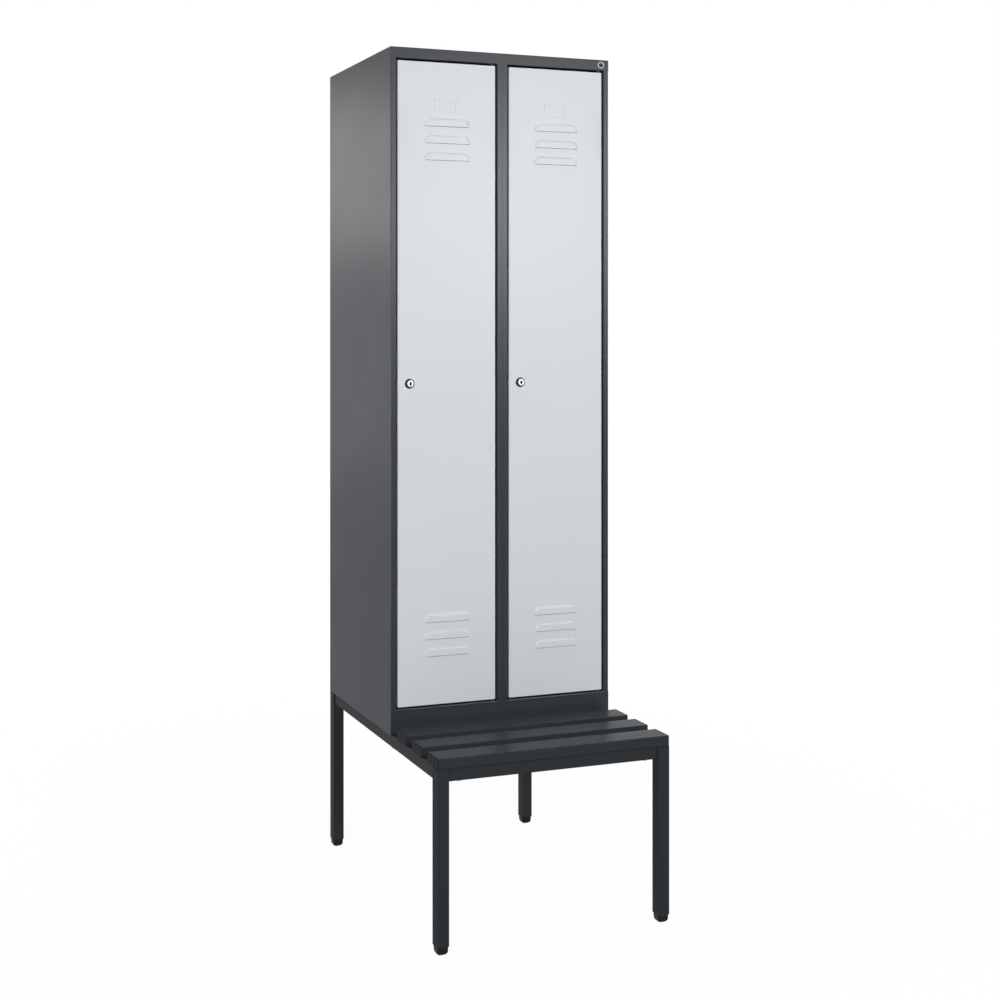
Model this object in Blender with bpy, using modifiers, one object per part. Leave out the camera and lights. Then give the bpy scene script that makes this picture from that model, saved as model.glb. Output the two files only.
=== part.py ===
"""Steel clothes locker with two doors, standing on a tubular frame that carries a slatted bench.

Metres, +Z up, +X to the right as seen from the front, the front faces -Y.
The origin is on the floor, under the middle of the whole piece.
"""
import math

import bmesh
import bpy
from mathutils import Matrix, Vector

# Driving sizes of the whole piece
CABINET_WIDTH = 0.600
CABINET_DEPTH = 0.500
CABINET_HEIGHT = 1.700
FRAME_HEIGHT = 0.425
BENCH_REACH = 0.313
SHEET = 0.001
BEND = 0.002
SEAT = 0.0003
OVERRUN = 0.002

# Front of the cabinet: stiles, rails and the gaps around the doors
SIDE_STILE = 0.015
CENTRE_STILE = 0.030
STILE_RETURN = 0.024
STOP_LIP = 0.012
STILE_WELD_LIP = 0.007
TOP_RAIL = 0.0285
BOTTOM_RAIL = 0.063
REAR_FLANGE = 0.020
PAN_LIP = 0.030
STRIKE_GAP = 0.0035
HINGE_GAP = 0.0045
DOOR_TOP_GAP = 0.0045
DOOR_FOOT_GAP = 0.004
NOTCH_LENGTH = 0.022
NOTCH_DEPTH = 0.004
NOTCH_REACH = 0.006

# Doors
DOOR_DEPTH = 0.020
DOOR_LIP = 0.012
LOUVRE_COUNT = 3
LOUVRE_FOOT_WIDTH = 0.124
LOUVRE_HEAD_WIDTH = 0.096
LOUVRE_HEIGHT = 0.016
LOUVRE_PROUD = 0.0035
LOUVRE_SLOPE = 0.003
LOUVRE_PITCH = 0.0422
UPPER_LOUVRE_DROP = 0.1593
LOWER_LOUVRE_RISE = 0.1215
LABEL_DROP = 0.0927
LABEL_SPAN = 0.066
LABEL_GUIDE_WIDTH = 0.010
LABEL_GUIDE_HEIGHT = 0.031
LABEL_GUIDE_PROUD = 0.0008

# Door pivots
PIVOT_INSET = 0.008
PIVOT_BACK = 0.008
PIN_RADIUS = 0.004
PIN_COLLAR_RADIUS = 0.006
PIN_COLLAR_HEIGHT = 0.004
PIN_STEM = 0.014
BUSH_BORE_GAP = 0.0003
BUSH_RADIUS = 0.0058
BUSH_FLANGE_RADIUS = 0.007
BUSH_BARREL = 0.006

# Locks
LOCK_INSET = 0.0308
ROSETTE_RADIUS = 0.0125
ROSETTE_HEIGHT = 0.0025
BARREL_RADIUS = 0.0085
BARREL_LENGTH = 0.020
PLUG_HEAD_RADIUS = 0.0086
PLUG_HEAD_HEIGHT = 0.0048
PLUG_RADIUS = 0.0055
PLUG_EDGE = 0.0006
KEYHOLE_WIDTH = 0.0048
KEYHOLE_HEIGHT = 0.0110
KEYHOLE_DEPTH = 0.003
TANG = 0.007
RIVET_HEIGHT = 0.0015
CAM_GAP = 0.001
CAM_THICKNESS = 0.0025
CAM_WIDTH = 0.016
CAM_REACH = 0.041
NUT_FLATS = 0.024
NUT_HEIGHT = 0.004
BUFFER_WIDTH = 0.008
BUFFER_LENGTH = 0.030
BUFFER_BELOW_LOCK = 0.150

# Inside: hat shelves, clothes rails and their sliding hooks
SHELF_DROP = 0.300
SHELF_SETBACK = 0.040
SHELF_FLANGE = 0.020
LUG_THICKNESS = 0.002
LUG_WIDTH = 0.030
LUG_DROP = 0.046
LUG_INSET = 0.020
RAIL_DROP = 0.031
RAIL_WIDTH = 0.010
RAIL_HEIGHT = 0.020
RAIL_WALL = 0.0012
RAIL_CORNER = 0.0045
RAIL_END_GAP = 0.006
HOOK_WIRE = 0.002
HOOK_CLEARANCE = 0.0006
HOOK_SPREAD = 0.050
HOOK_NECK = 0.026
HOOK_BEND = 0.009
HOOK_TIP = 0.010
HOOK_CORNER = 0.0068
HOOK_SHOULDER = 0.003
HOOK_TAIL = 0.004

# Frame, bench slats, glides and fasteners
TUBE = 0.030
TUBE_WALL = 0.0015
TUBE_CORNER = 0.0025
RAIL_TUBE = 0.020
SLAT_COUNT = 3
SLAT_WIDTH = 0.065
SLAT_THICKNESS = 0.025
SLAT_PITCH = 0.103
SLAT_INSET = 0.001
SLAT_EDGE = 0.0025
SLAT_FOOT_EDGE = 0.005
GLIDE_HEAD = 0.020
GLIDE_SHOULDER_INSET = 0.001
GLIDE_TAPER = 0.0025
GLIDE_FOOT_RADIUS = 0.008
GLIDE_PLUG = 0.020
SCREW_RADIUS = 0.0025
SCREW_HEAD_RADIUS = 0.005
SCREW_HEAD_HEIGHT = 0.003
SCREW_GRIP = 0.014
BOLT_RADIUS = 0.004
BOLT_HEAD_FLATS = 0.013
BOLT_HEAD_HEIGHT = 0.0053
BOLT_END = 0.006
BOLT_INSET = 0.060

# Finishes: colour, roughness, metallic
CARCASS = ((0.070, 0.078, 0.090), 0.45, 0.0)
DOOR = ((0.66, 0.68, 0.69), 0.40, 0.0)
SLAT = ((0.085, 0.093, 0.105), 0.50, 0.0)
BLACK_PLASTIC = ((0.012, 0.012, 0.013), 0.50, 0.0)
WHITE_PLASTIC = ((0.70, 0.70, 0.67), 0.50, 0.0)
RUBBER = ((0.03, 0.03, 0.03), 0.80, 0.0)
CHROME = ((0.80, 0.80, 0.80), 0.15, 1.0)
ZINC = ((0.60, 0.61, 0.62), 0.35, 1.0)

# Places worked out from the sizes above
DEPTH = CABINET_DEPTH + BENCH_REACH
BACK_Y = DEPTH / 2
BENCH_Y = -DEPTH / 2
FRONT_Y = BACK_Y - CABINET_DEPTH
HALF = CABINET_WIDTH / 2
FOOT_Z = FRAME_HEIGHT + SEAT
TOP_Z = FOOT_Z + CABINET_HEIGHT
FLOOR_Z = FOOT_Z + BOTTOM_RAIL
RAIL_Z = TOP_Z - TOP_RAIL
DOOR_FOOT_Z = FLOOR_Z + DOOR_FOOT_GAP
DOOR_HEAD_Z = RAIL_Z - DOOR_TOP_GAP
DOOR_HEIGHT = DOOR_HEAD_Z - DOOR_FOOT_Z
BAY_WIDTH = HALF - SIDE_STILE - CENTRE_STILE / 2
DOOR_WIDTH = BAY_WIDTH - STRIKE_GAP - HINGE_GAP
LOCK_Z = DOOR_FOOT_Z + DOOR_HEIGHT / 2
INNER_BACK_Y = BACK_Y - SHEET - SEAT
PAN_BACK_Y = INNER_BACK_Y - SHEET - SEAT
SHELF_Z = TOP_Z - SHELF_DROP
SHELF_FRONT_Y = FRONT_Y + SHELF_SETBACK
RAIL_Y = (SHELF_FRONT_Y + PAN_BACK_Y) / 2
RAIL_CENTRE_Z = SHELF_Z - RAIL_DROP
FRAME_FOOT_Z = FRAME_HEIGHT - TUBE

ROUND_STEPS = 24
SMALL_ROUND_STEPS = 16
SHARP_ANGLE = math.radians(35)
FOLD_ANGLE = math.radians(30)


def clear_scene():
    for obj in list(bpy.data.objects):
        bpy.data.objects.remove(obj, do_unlink=True)


def new_collection(name):
    collection = bpy.data.collections.new(name)
    bpy.context.scene.collection.children.link(collection)
    return collection


def add_empty(name, location, parent=None):
    empty = bpy.data.objects.new(name, None)
    empty.location = location
    empty.parent = parent
    parts.objects.link(empty)
    return empty


def add_object(name, data, location, finish, parent=None):
    """A finished piece with a material of its own."""
    colour, roughness, metallic = finish
    material = bpy.data.materials.new(name)
    material.use_nodes = True
    shader = material.node_tree.nodes["Principled BSDF"]
    shader.inputs["Base Color"].default_value = (*colour, 1.0)
    shader.inputs["Roughness"].default_value = roughness
    shader.inputs["Metallic"].default_value = metallic
    data.materials.append(material)
    obj = bpy.data.objects.new(name, data)
    obj.location = location
    obj.parent = parent
    parts.objects.link(obj)
    return obj


def add_tool(name, data, location, parent=None):
    """A shape that cuts or joins a piece, kept out of the model itself."""
    obj = bpy.data.objects.new(name, data)
    obj.location = location
    obj.parent = parent
    obj.display_type = "WIRE"
    obj.hide_render = True
    cutters.objects.link(obj)
    return obj


def to_mesh(bm, name):
    mesh = bpy.data.meshes.new(name)
    bm.to_mesh(mesh)
    bm.free()
    return mesh


def add_box(bm, low, high):
    """A box between two corners, added to a bmesh. Returns its vertices."""
    size = Vector(high) - Vector(low)
    middle = (Vector(high) + Vector(low)) / 2
    matrix = Matrix.Translation(middle) @ Matrix.Diagonal((*size, 1.0))
    return bmesh.ops.create_cube(bm, size=1.0, matrix=matrix)["verts"]


def box_mesh(name, low, high):
    bm = bmesh.new()
    add_box(bm, low, high)
    return to_mesh(bm, name)


def centred_box(name, size):
    half = Vector(size) / 2
    return box_mesh(name, -half, half)


def add_rod(bm, centre, radius, length, axis, steps):
    """A cylinder or prism about a centre, along X, Y or Z, added to a bmesh."""
    turn = {"X": Matrix.Rotation(math.pi / 2, 4, "Y"), "Y": Matrix.Rotation(-math.pi / 2, 4, "X"),
            "Z": Matrix.Identity(4)}[axis]
    matrix = Matrix.Translation(centre) @ turn
    return bmesh.ops.create_cone(bm, cap_ends=True, segments=steps, radius1=radius, radius2=radius,
                                 depth=length, matrix=matrix)["verts"]


def round_edges(obj, width, segments=2, limit="ANGLE"):
    bevel = obj.modifiers.new("round_edges", "BEVEL")
    bevel.width = width
    bevel.segments = segments
    bevel.limit_method = limit
    bevel.angle_limit = FOLD_ANGLE
    return bevel


def thicken(obj, wall):
    """Give an open surface its wall, inwards from the face that was drawn."""
    solid = obj.modifiers.new("wall", "SOLIDIFY")
    solid.thickness = wall
    solid.offset = -1.0
    solid.use_even_offset = True


def combine(obj, tool, operation):
    boolean = obj.modifiers.new(operation.lower(), "BOOLEAN")
    boolean.operation = operation
    boolean.solver = "EXACT"
    boolean.object = tool


def cut(obj, tool):
    combine(obj, tool, "DIFFERENCE")


def join(obj, tool):
    combine(obj, tool, "UNION")


def folded_mesh(name, outline, start, end, axis):
    """An open sheet: an outline drawn across an axis and carried along it.

    The outline is in (x, y) for axis Z and in (y, z) for axis X. Its outer face is on the right
    of the path.
    """
    def place(first, second, along):
        if axis == "Z":
            return Vector((first, second, along))
        return Vector((along, first, second))

    bm = bmesh.new()
    corners = [bm.verts.new(place(first, second, start)) for first, second in outline]
    path = [bm.edges.new(pair) for pair in zip(corners, corners[1:])]
    carried = bmesh.ops.extrude_edge_only(bm, edges=path)["geom"]
    moved = [item for item in carried if isinstance(item, bmesh.types.BMVert)]
    bmesh.ops.translate(bm, verts=moved, vec=place(0, 0, end - start))
    bmesh.ops.recalc_face_normals(bm, faces=bm.faces)
    step = Vector(outline[1]) - Vector(outline[0])
    outward = place(step.y, -step.x, 0)
    middle = place(*((Vector(outline[0]) + Vector(outline[1])) / 2), (start + end) / 2)
    first_face = min(bm.faces, key=lambda face: (face.calc_center_median() - middle).length)
    if first_face.normal.dot(outward) < 0:
        bmesh.ops.reverse_faces(bm, faces=bm.faces)
    return to_mesh(bm, name)


def add_folded(name, outline, start, end, axis, finish):
    obj = add_object(name, folded_mesh(name, outline, start, end, axis), (0, 0, 0), finish)
    round_edges(obj, BEND)
    thicken(obj, SHEET)
    return obj


def add_tube(name, low, high, axis, finish, corner, wall):
    """A tube of rectangular section, open at both ends, between two corners of its box."""
    middle = (Vector(low) + Vector(high)) / 2
    index = "XYZ".index(axis)
    bm = bmesh.new()
    add_box(bm, Vector(low) - middle, Vector(high) - middle)
    bm.normal_update()
    ends = [face for face in bm.faces if abs(face.normal[index]) > abs(face.normal[index - 1])
            and abs(face.normal[index]) > abs(face.normal[index - 2])]
    bmesh.ops.delete(bm, geom=ends, context="FACES")
    obj = add_object(name, to_mesh(bm, name), middle, finish)
    round_edges(obj, corner)
    thicken(obj, wall)
    return obj


def add_turned(name, profile, location, finish, rotation, closed=False, parent=None):
    """A turned piece about its own Z: a profile of (radius, height), down its outer side."""
    bm = bmesh.new()
    points = [bm.verts.new((radius, 0, height)) for radius, height in profile]
    ends = points[1:] + points[:1] if closed else points[1:]
    for pair in zip(points, ends):
        bm.edges.new(pair)
    obj = add_object(name, to_mesh(bm, name), location, finish, parent)
    obj.rotation_euler = rotation
    screw = obj.modifiers.new("turn", "SCREW")
    screw.steps = ROUND_STEPS
    screw.render_steps = ROUND_STEPS
    screw.use_merge_vertices = True
    screw.merge_threshold = SEAT / 10
    screw.use_smooth_shade = True
    return obj


def shade(obj):
    obj.data.shade_smooth()
    obj.data.set_sharp_from_angle(angle=SHARP_ANGLE)


def build_side_panels():
    """Side walls, each folded at the front into its stile and at the back into a flange."""
    top = TOP_Z - SHEET - SEAT
    stop_x = HALF - SIDE_STILE - STOP_LIP
    weld_x = HALF - SHEET - SEAT
    shared = [(HALF - REAR_FLANGE, INNER_BACK_Y), (HALF, INNER_BACK_Y), (HALF, FRONT_Y),
              (HALF - SIDE_STILE, FRONT_Y), (HALF - SIDE_STILE, FRONT_Y + STILE_RETURN)]
    left = [(-x, y) for x, y in shared + [(stop_x, FRONT_Y + STILE_RETURN)]]
    right = list(reversed(shared + [(weld_x - BEND, FRONT_Y + STILE_RETURN)]))
    for name, outline, side in (("side_panel_left", left, -1), ("side_panel_right", right, 1)):
        panel = add_folded(name, outline, FOOT_Z, top, "Z", CARCASS)
        for low_z, high_z in ((RAIL_Z - SEAT, top + OVERRUN), (FOOT_Z - OVERRUN, FLOOR_Z + SEAT)):
            for far, depth in ((weld_x, STILE_RETURN + SHEET + OVERRUN), (HALF + OVERRUN, SHEET + SEAT)):
                low_x, high_x = sorted((side * (stop_x - OVERRUN), side * far))
                low = (low_x, FRONT_Y - OVERRUN, low_z)
                high = (high_x, FRONT_Y + depth, high_z)
                cut(panel, add_tool(name + "_clearance", box_mesh(name + "_clearance", low, high), (0, 0, 0)))
        if side < 0:
            cut(panel, add_notch(name, -(HALF - SIDE_STILE)))


def add_notch(name, edge_x):
    """A finger notch at lock height, in the edge of a stile that a door closes against."""
    radius = ((NOTCH_LENGTH / 2) ** 2 + NOTCH_DEPTH ** 2) / (2 * NOTCH_DEPTH)
    bm = bmesh.new()
    add_rod(bm, (0, 0, 0), radius, 2 * NOTCH_REACH, "Y", 2 * ROUND_STEPS)
    centre = (edge_x + radius - NOTCH_DEPTH, FRONT_Y, LOCK_Z)
    return add_tool(name + "_notch", to_mesh(bm, name + "_notch"), centre)


def build_centre_stile():
    """The middle upright: the left door hangs on its left, the right door closes on its right."""
    half = CENTRE_STILE / 2
    back = FRONT_Y + STILE_RETURN
    outline = [(STILE_WELD_LIP, back), (-half, back), (-half, FRONT_Y), (half, FRONT_Y), (half, back),
               (half + STOP_LIP, back)]
    stile = add_folded("centre_stile", outline, FLOOR_Z + SEAT, RAIL_Z - SEAT, "Z", CARCASS)
    cut(stile, add_notch("centre_stile", half))


def build_partition():
    low = (-SHEET / 2, FRONT_Y + STILE_RETURN + SEAT, FLOOR_Z + SEAT)
    high = (SHEET / 2, INNER_BACK_Y, TOP_Z - SHEET - SEAT)
    middle = (Vector(low) + Vector(high)) / 2
    add_object("partition", centred_box("partition", Vector(high) - Vector(low)), middle, CARCASS)


def build_back_panel():
    size = (CABINET_WIDTH, SHEET, CABINET_HEIGHT)
    place = (0, BACK_Y - SHEET / 2, FOOT_Z + CABINET_HEIGHT / 2)
    add_object("back_panel", centred_box("back_panel", size), place, CARCASS)


def pivot_places():
    """Where each door's pivot stands: its name and x."""
    left = -CENTRE_STILE / 2 - HINGE_GAP - PIVOT_INSET
    right = HALF - SIDE_STILE - HINGE_GAP - PIVOT_INSET
    return (("left", left), ("right", right))


def add_pan_tool(name, low_z, high_z, hole_z):
    """Clears a pan's ends for the side walls and drills its seats for the pivot bushes."""
    bm = bmesh.new()
    inner = HALF - SHEET - SEAT
    for side in (-1, 1):
        low_x, high_x = sorted((side * inner, side * (HALF + OVERRUN)))
        add_box(bm, (low_x, FRONT_Y + SHEET, low_z), (high_x, BACK_Y + OVERRUN, high_z))
    for _, x in pivot_places():
        add_rod(bm, (x, FRONT_Y + PIVOT_BACK, hole_z), BUSH_RADIUS + SEAT, 4 * SHEET, "Z", ROUND_STEPS)
    return bm


def build_top_panel():
    """The roof, folded down at the front into the top rail, with a lip behind the doors' heads."""
    outline = [(INNER_BACK_Y, TOP_Z), (FRONT_Y, TOP_Z), (FRONT_Y, RAIL_Z),
               (FRONT_Y + STILE_RETURN, RAIL_Z)]
    panel = add_folded("top_panel", outline, -HALF, HALF, "X", CARCASS)
    bm = add_pan_tool("top_panel", RAIL_Z - OVERRUN, TOP_Z - SHEET, RAIL_Z + SHEET / 2)
    cut(panel, add_tool("top_panel_clearance", to_mesh(bm, "top_panel_clearance"), (0, 0, 0)))


def build_bottom_panel():
    """The floor, a deep pan turned down, with lips that rest on the frame."""
    back = PAN_BACK_Y - BEND
    outline = [(back - PAN_LIP, FOOT_Z), (back, FOOT_Z), (back, FLOOR_Z), (FRONT_Y, FLOOR_Z),
               (FRONT_Y, FOOT_Z), (FRONT_Y + PAN_LIP, FOOT_Z)]
    panel = add_folded("bottom_panel", outline, -HALF, HALF, "X", CARCASS)
    bm = add_pan_tool("bottom_panel", FOOT_Z - OVERRUN, FLOOR_Z + OVERRUN, FLOOR_Z - SHEET / 2)
    for x, y in bolt_places():
        add_rod(bm, (x, y, FOOT_Z + SHEET / 2), BOLT_RADIUS + SEAT, 4 * SHEET, "Z", SMALL_ROUND_STEPS)
    cut(panel, add_tool("bottom_panel_clearance", to_mesh(bm, "bottom_panel_clearance"), (0, 0, 0)))


def add_louvre(bm, foot_z, wall, overrun):
    """One louvre about x = 0 on a face at y = 0: a raised plate with sloped head and ends.

    With a wall it is the hollow inside, which runs on through the sheet and out of the open foot.
    """
    verts = add_box(bm, (-1, -1, 0), (1, 1, 1))
    for vert in verts:
        across, outward, upward = vert.co
        width = LOUVRE_FOOT_WIDTH + (LOUVRE_HEAD_WIDTH - LOUVRE_FOOT_WIDTH) * upward
        front = outward < 0
        slope = (LOUVRE_SLOPE if front else 0) + wall
        x = across * (width / 2 - slope)
        y = -(LOUVRE_PROUD - wall) if front else (SHEET + overrun if wall else SHEET / 2)
        z = foot_z + LOUVRE_HEIGHT - slope if upward else foot_z - overrun
        vert.co = (x, y, z)


def louvre_feet():
    """Heights of the louvres' open lower edges above the door's foot."""
    upper = [DOOR_HEIGHT - UPPER_LOUVRE_DROP - row * LOUVRE_PITCH for row in range(LOUVRE_COUNT)]
    lower = [LOWER_LOUVRE_RISE + row * LOUVRE_PITCH for row in range(LOUVRE_COUNT)]
    return upper + lower


def build_door_leaf(side, pivot):
    """A folded pan with pressed louvres and label guides, placed from its pivot."""
    name = "door_" + side
    right = PIVOT_INSET
    left = right - DOOR_WIDTH
    front = -PIVOT_BACK
    bm = bmesh.new()
    add_box(bm, (left, front, 0), (right, front + DOOR_DEPTH, DOOR_HEIGHT))
    bm.normal_update()
    back = [face for face in bm.faces if face.normal.y > abs(face.normal.x) + abs(face.normal.z)]
    bmesh.ops.inset_region(bm, faces=back, thickness=DOOR_LIP)
    bmesh.ops.delete(bm, geom=back, context="FACES")
    door = add_object(name, to_mesh(bm, name), (0, 0, 0), DOOR, pivot)
    round_edges(door, BEND)
    thicken(door, SHEET)

    middle = (left + right) / 2
    pressed = bmesh.new()
    hollow = bmesh.new()
    for foot in louvre_feet():
        add_louvre(pressed, foot, 0, 0)
        add_louvre(hollow, foot, SHEET, OVERRUN)
    for sign in (-1, 1):
        outer = sign * LABEL_SPAN / 2
        inner = sign * (LABEL_SPAN / 2 - LABEL_GUIDE_WIDTH)
        low_x, high_x = sorted((outer, inner))
        head = DOOR_HEIGHT - LABEL_DROP
        add_box(pressed, (low_x, -LABEL_GUIDE_PROUD, head - LABEL_GUIDE_HEIGHT), (high_x, SHEET / 2, head))
    lock_place = (left + LOCK_INSET - middle, 0, DOOR_HEIGHT / 2)
    add_rod(hollow, lock_place, BARREL_RADIUS + SEAT, 4 * SHEET, "Y", ROUND_STEPS)
    for z in (0, DOOR_HEIGHT):
        add_rod(hollow, (-middle, PIVOT_BACK, z), PIN_RADIUS + SEAT, 4 * SHEET, "Z", ROUND_STEPS)
    place = (middle, front, 0)
    join(door, add_tool(name + "_pressed", to_mesh(pressed, name + "_pressed"), place, pivot))
    cut(door, add_tool(name + "_hollow", to_mesh(hollow, name + "_hollow"), place, pivot))


def build_pivots(side, x, pivot):
    """Pins that turn with the door and the plastic bushes that they stand in."""
    bore = PIN_RADIUS + BUSH_BORE_GAP
    for end, gap, seat_z, way in (("bottom", DOOR_FOOT_GAP, FLOOR_Z, -1), ("top", DOOR_TOP_GAP, RAIL_Z, 1)):
        reach = gap + SHEET + BUSH_BARREL
        door_z = 0 if way < 0 else DOOR_HEIGHT
        upright = (0, 0, 0) if way > 0 else (math.pi, 0, 0)
        inside = -SHEET - SEAT
        collar = inside - PIN_COLLAR_HEIGHT
        pin = [(0, reach), (PIN_RADIUS - BUSH_BORE_GAP, reach), (PIN_RADIUS, reach - BUSH_BORE_GAP),
               (PIN_RADIUS, inside), (PIN_COLLAR_RADIUS, inside), (PIN_COLLAR_RADIUS, collar),
               (PIN_RADIUS, collar), (PIN_RADIUS, -PIN_STEM), (0, -PIN_STEM)]
        add_turned(f"hinge_pin_{side}_{end}", pin, (0, 0, door_z), ZINC, upright, parent=pivot)
        thrust = SEAT - gap
        bush = [(BUSH_RADIUS, SHEET + BUSH_BARREL), (BUSH_RADIUS, -SEAT), (BUSH_FLANGE_RADIUS, -SEAT),
                (BUSH_FLANGE_RADIUS, thrust), (bore, thrust), (bore, SHEET + BUSH_BARREL)]
        place = (x, FRONT_Y + PIVOT_BACK, seat_z)
        add_turned(f"hinge_bush_{side}_{end}", bush, place, WHITE_PLASTIC, upright, closed=True)


def build_lock(side, pivot):
    """Black rosette with its barrel, turning plug with a keyhole, nut and cam, all on one axis."""
    axis_place = (PIVOT_INSET - DOOR_WIDTH + LOCK_INSET, -PIVOT_BACK, DOOR_HEIGHT / 2)
    axis = add_empty("lock_axis_" + side, axis_place, pivot)
    facing = (math.pi / 2, 0, 0)
    bore = PLUG_RADIUS + SEAT
    body = [(bore, ROSETTE_HEIGHT), (ROSETTE_RADIUS - PLUG_EDGE, ROSETTE_HEIGHT),
            (ROSETTE_RADIUS, ROSETTE_HEIGHT - PLUG_EDGE), (ROSETTE_RADIUS, SEAT), (BARREL_RADIUS, SEAT),
            (BARREL_RADIUS, -BARREL_LENGTH), (bore, -BARREL_LENGTH)]
    add_turned("lock_body_" + side, body, (0, 0, 0), BLACK_PLASTIC, facing, closed=True, parent=axis)

    head_foot = ROSETTE_HEIGHT + SEAT
    head_top = head_foot + PLUG_HEAD_HEIGHT
    cam_near = STILE_RETURN + SHEET + CAM_GAP
    cam_far = cam_near + CAM_THICKNESS
    plug = [(0, head_top), (PLUG_HEAD_RADIUS - PLUG_EDGE, head_top), (PLUG_HEAD_RADIUS, head_top - PLUG_EDGE),
            (PLUG_HEAD_RADIUS, head_foot), (PLUG_RADIUS, head_foot), (PLUG_RADIUS, SEAT - cam_near),
            (0, SEAT - cam_near)]
    core = add_turned("lock_plug_" + side, plug, (0, 0, 0), CHROME, facing, parent=axis)
    tail = bmesh.new()
    add_box(tail, (-TANG / 2, cam_near - CAM_GAP, -TANG / 2), (TANG / 2, cam_far + RIVET_HEIGHT, TANG / 2))
    join(core, add_tool("lock_tang_" + side, to_mesh(tail, "lock_tang_" + side), (0, 0, 0), axis))
    rivet = bmesh.new()
    rivet_middle = cam_far + SEAT + RIVET_HEIGHT
    add_rod(rivet, (0, rivet_middle, 0), PLUG_RADIUS, 2 * RIVET_HEIGHT, "Y", ROUND_STEPS)
    join(core, add_tool("lock_rivet_" + side, to_mesh(rivet, "lock_rivet_" + side), (0, 0, 0), axis))
    keyhole = bmesh.new()
    slot = add_rod(keyhole, (0, 0, 0), 1, 2 * KEYHOLE_DEPTH, "Y", 4)
    for vert in slot:
        vert.co.x *= KEYHOLE_WIDTH / 2
        vert.co.z *= KEYHOLE_HEIGHT / 2
        vert.co.y -= head_top
    cut(core, add_tool("keyhole_" + side, to_mesh(keyhole, "keyhole_" + side), (0, 0, 0), axis))

    nut = bmesh.new()
    nut_near = SHEET + SEAT
    across_corners = NUT_FLATS / math.cos(math.pi / 6)
    add_rod(nut, (0, nut_near + NUT_HEIGHT / 2, 0), across_corners / 2, NUT_HEIGHT, "Y", 6)
    nut_object = add_object("lock_nut_" + side, to_mesh(nut, "lock_nut_" + side), (0, 0, 0), ZINC, axis)
    thread = bmesh.new()
    add_rod(thread, (0, nut_near + NUT_HEIGHT / 2, 0), BARREL_RADIUS + SEAT, 2 * NUT_HEIGHT, "Y", ROUND_STEPS)
    cut(nut_object, add_tool("nut_bore_" + side, to_mesh(thread, "nut_bore_" + side), (0, 0, 0), axis))

    low = (-CAM_WIDTH / 2, cam_near, -CAM_REACH)
    high = (CAM_WIDTH / 2, cam_far, CAM_WIDTH / 2)
    cam = add_object("lock_cam_" + side, box_mesh("lock_cam_" + side, low, high), (0, 0, 0), ZINC, axis)
    weight_face_edges(cam)
    hole = bmesh.new()
    half = TANG / 2 + SEAT
    add_box(hole, (-half, cam_near - OVERRUN, -half), (half, cam_far + OVERRUN, half))
    cut(cam, add_tool("cam_hole_" + side, to_mesh(hole, "cam_hole_" + side), (0, 0, 0), axis))


def weight_face_edges(cam):
    """Round the cam's two ends in plan: only the edges across its thickness are bevelled."""
    weights = cam.data.attributes.new("bevel_weight_edge", "FLOAT", "EDGE")
    for edge in cam.data.edges:
        first, second = (cam.data.vertices[index].co for index in edge.vertices)
        across = abs(first.y - second.y) > abs(first.x - second.x) + abs(first.z - second.z)
        weights.data[edge.index].value = 1.0 if across else 0.0
    round_edges(cam, CAM_WIDTH / 2 - SHEET, 4, "WEIGHT")


def build_buffer(side, stile_x):
    """A rubber pad on a stile's stop lip, for the shut door to rest against."""
    low = (stile_x + BEND, FRONT_Y + DOOR_DEPTH + SEAT, -BUFFER_LENGTH / 2)
    high = (stile_x + BEND + BUFFER_WIDTH, FRONT_Y + STILE_RETURN - SEAT, BUFFER_LENGTH / 2)
    place = (0, 0, LOCK_Z - BUFFER_BELOW_LOCK)
    add_object("door_buffer_" + side, box_mesh("door_buffer_" + side, low, high), place, RUBBER)


def build_doors():
    stiles = {"left": -HALF + SIDE_STILE, "right": CENTRE_STILE / 2}
    for side, x in pivot_places():
        pivot = add_empty("door_axis_" + side, (x, FRONT_Y + PIVOT_BACK, DOOR_FOOT_Z))
        build_door_leaf(side, pivot)
        build_pivots(side, x, pivot)
        build_lock(side, pivot)
        build_buffer(side, stiles[side])


def build_shelf(side, low_x, high_x):
    """Hat shelf: a pan turned down, with two lugs below that carry the clothes rail."""
    name = "hat_shelf_" + side
    low = Vector((low_x, SHELF_FRONT_Y, SHELF_Z - SHELF_FLANGE))
    high = Vector((high_x, PAN_BACK_Y, SHELF_Z))
    middle = (low + high) / 2
    bm = bmesh.new()
    add_box(bm, low - middle, high - middle)
    bm.normal_update()
    under = [face for face in bm.faces if face.normal.z < -abs(face.normal.x) - abs(face.normal.y)]
    bmesh.ops.delete(bm, geom=under, context="FACES")
    shelf = add_object(name, to_mesh(bm, name), middle, CARCASS)
    round_edges(shelf, BEND)
    thicken(shelf, SHEET)
    lugs = bmesh.new()
    span = (high_x - low_x) / 2 - LUG_INSET
    half = Vector((LUG_THICKNESS, LUG_WIDTH, 0)) / 2
    for x in (-span, span):
        centre = Vector((x, 0, 0))
        add_box(lugs, centre - half + Vector((0, 0, -LUG_DROP)), centre + half + Vector((0, 0, -SHEET / 2)))
    place = ((low_x + high_x) / 2, RAIL_Y, SHELF_Z)
    join(shelf, add_tool(name + "_lugs", to_mesh(lugs, name + "_lugs"), place))
    way = (high_x - low_x - 2 * RAIL_END_GAP, RAIL_WIDTH + 2 * SEAT, RAIL_HEIGHT + 2 * SEAT)
    rail_place = ((low_x + high_x) / 2, RAIL_Y, RAIL_CENTRE_Z)
    tool = add_tool(name + "_rail_way", centred_box(name + "_rail_way", way), rail_place)
    round_edges(tool, RAIL_CORNER + SEAT)
    cut(shelf, tool)


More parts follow.
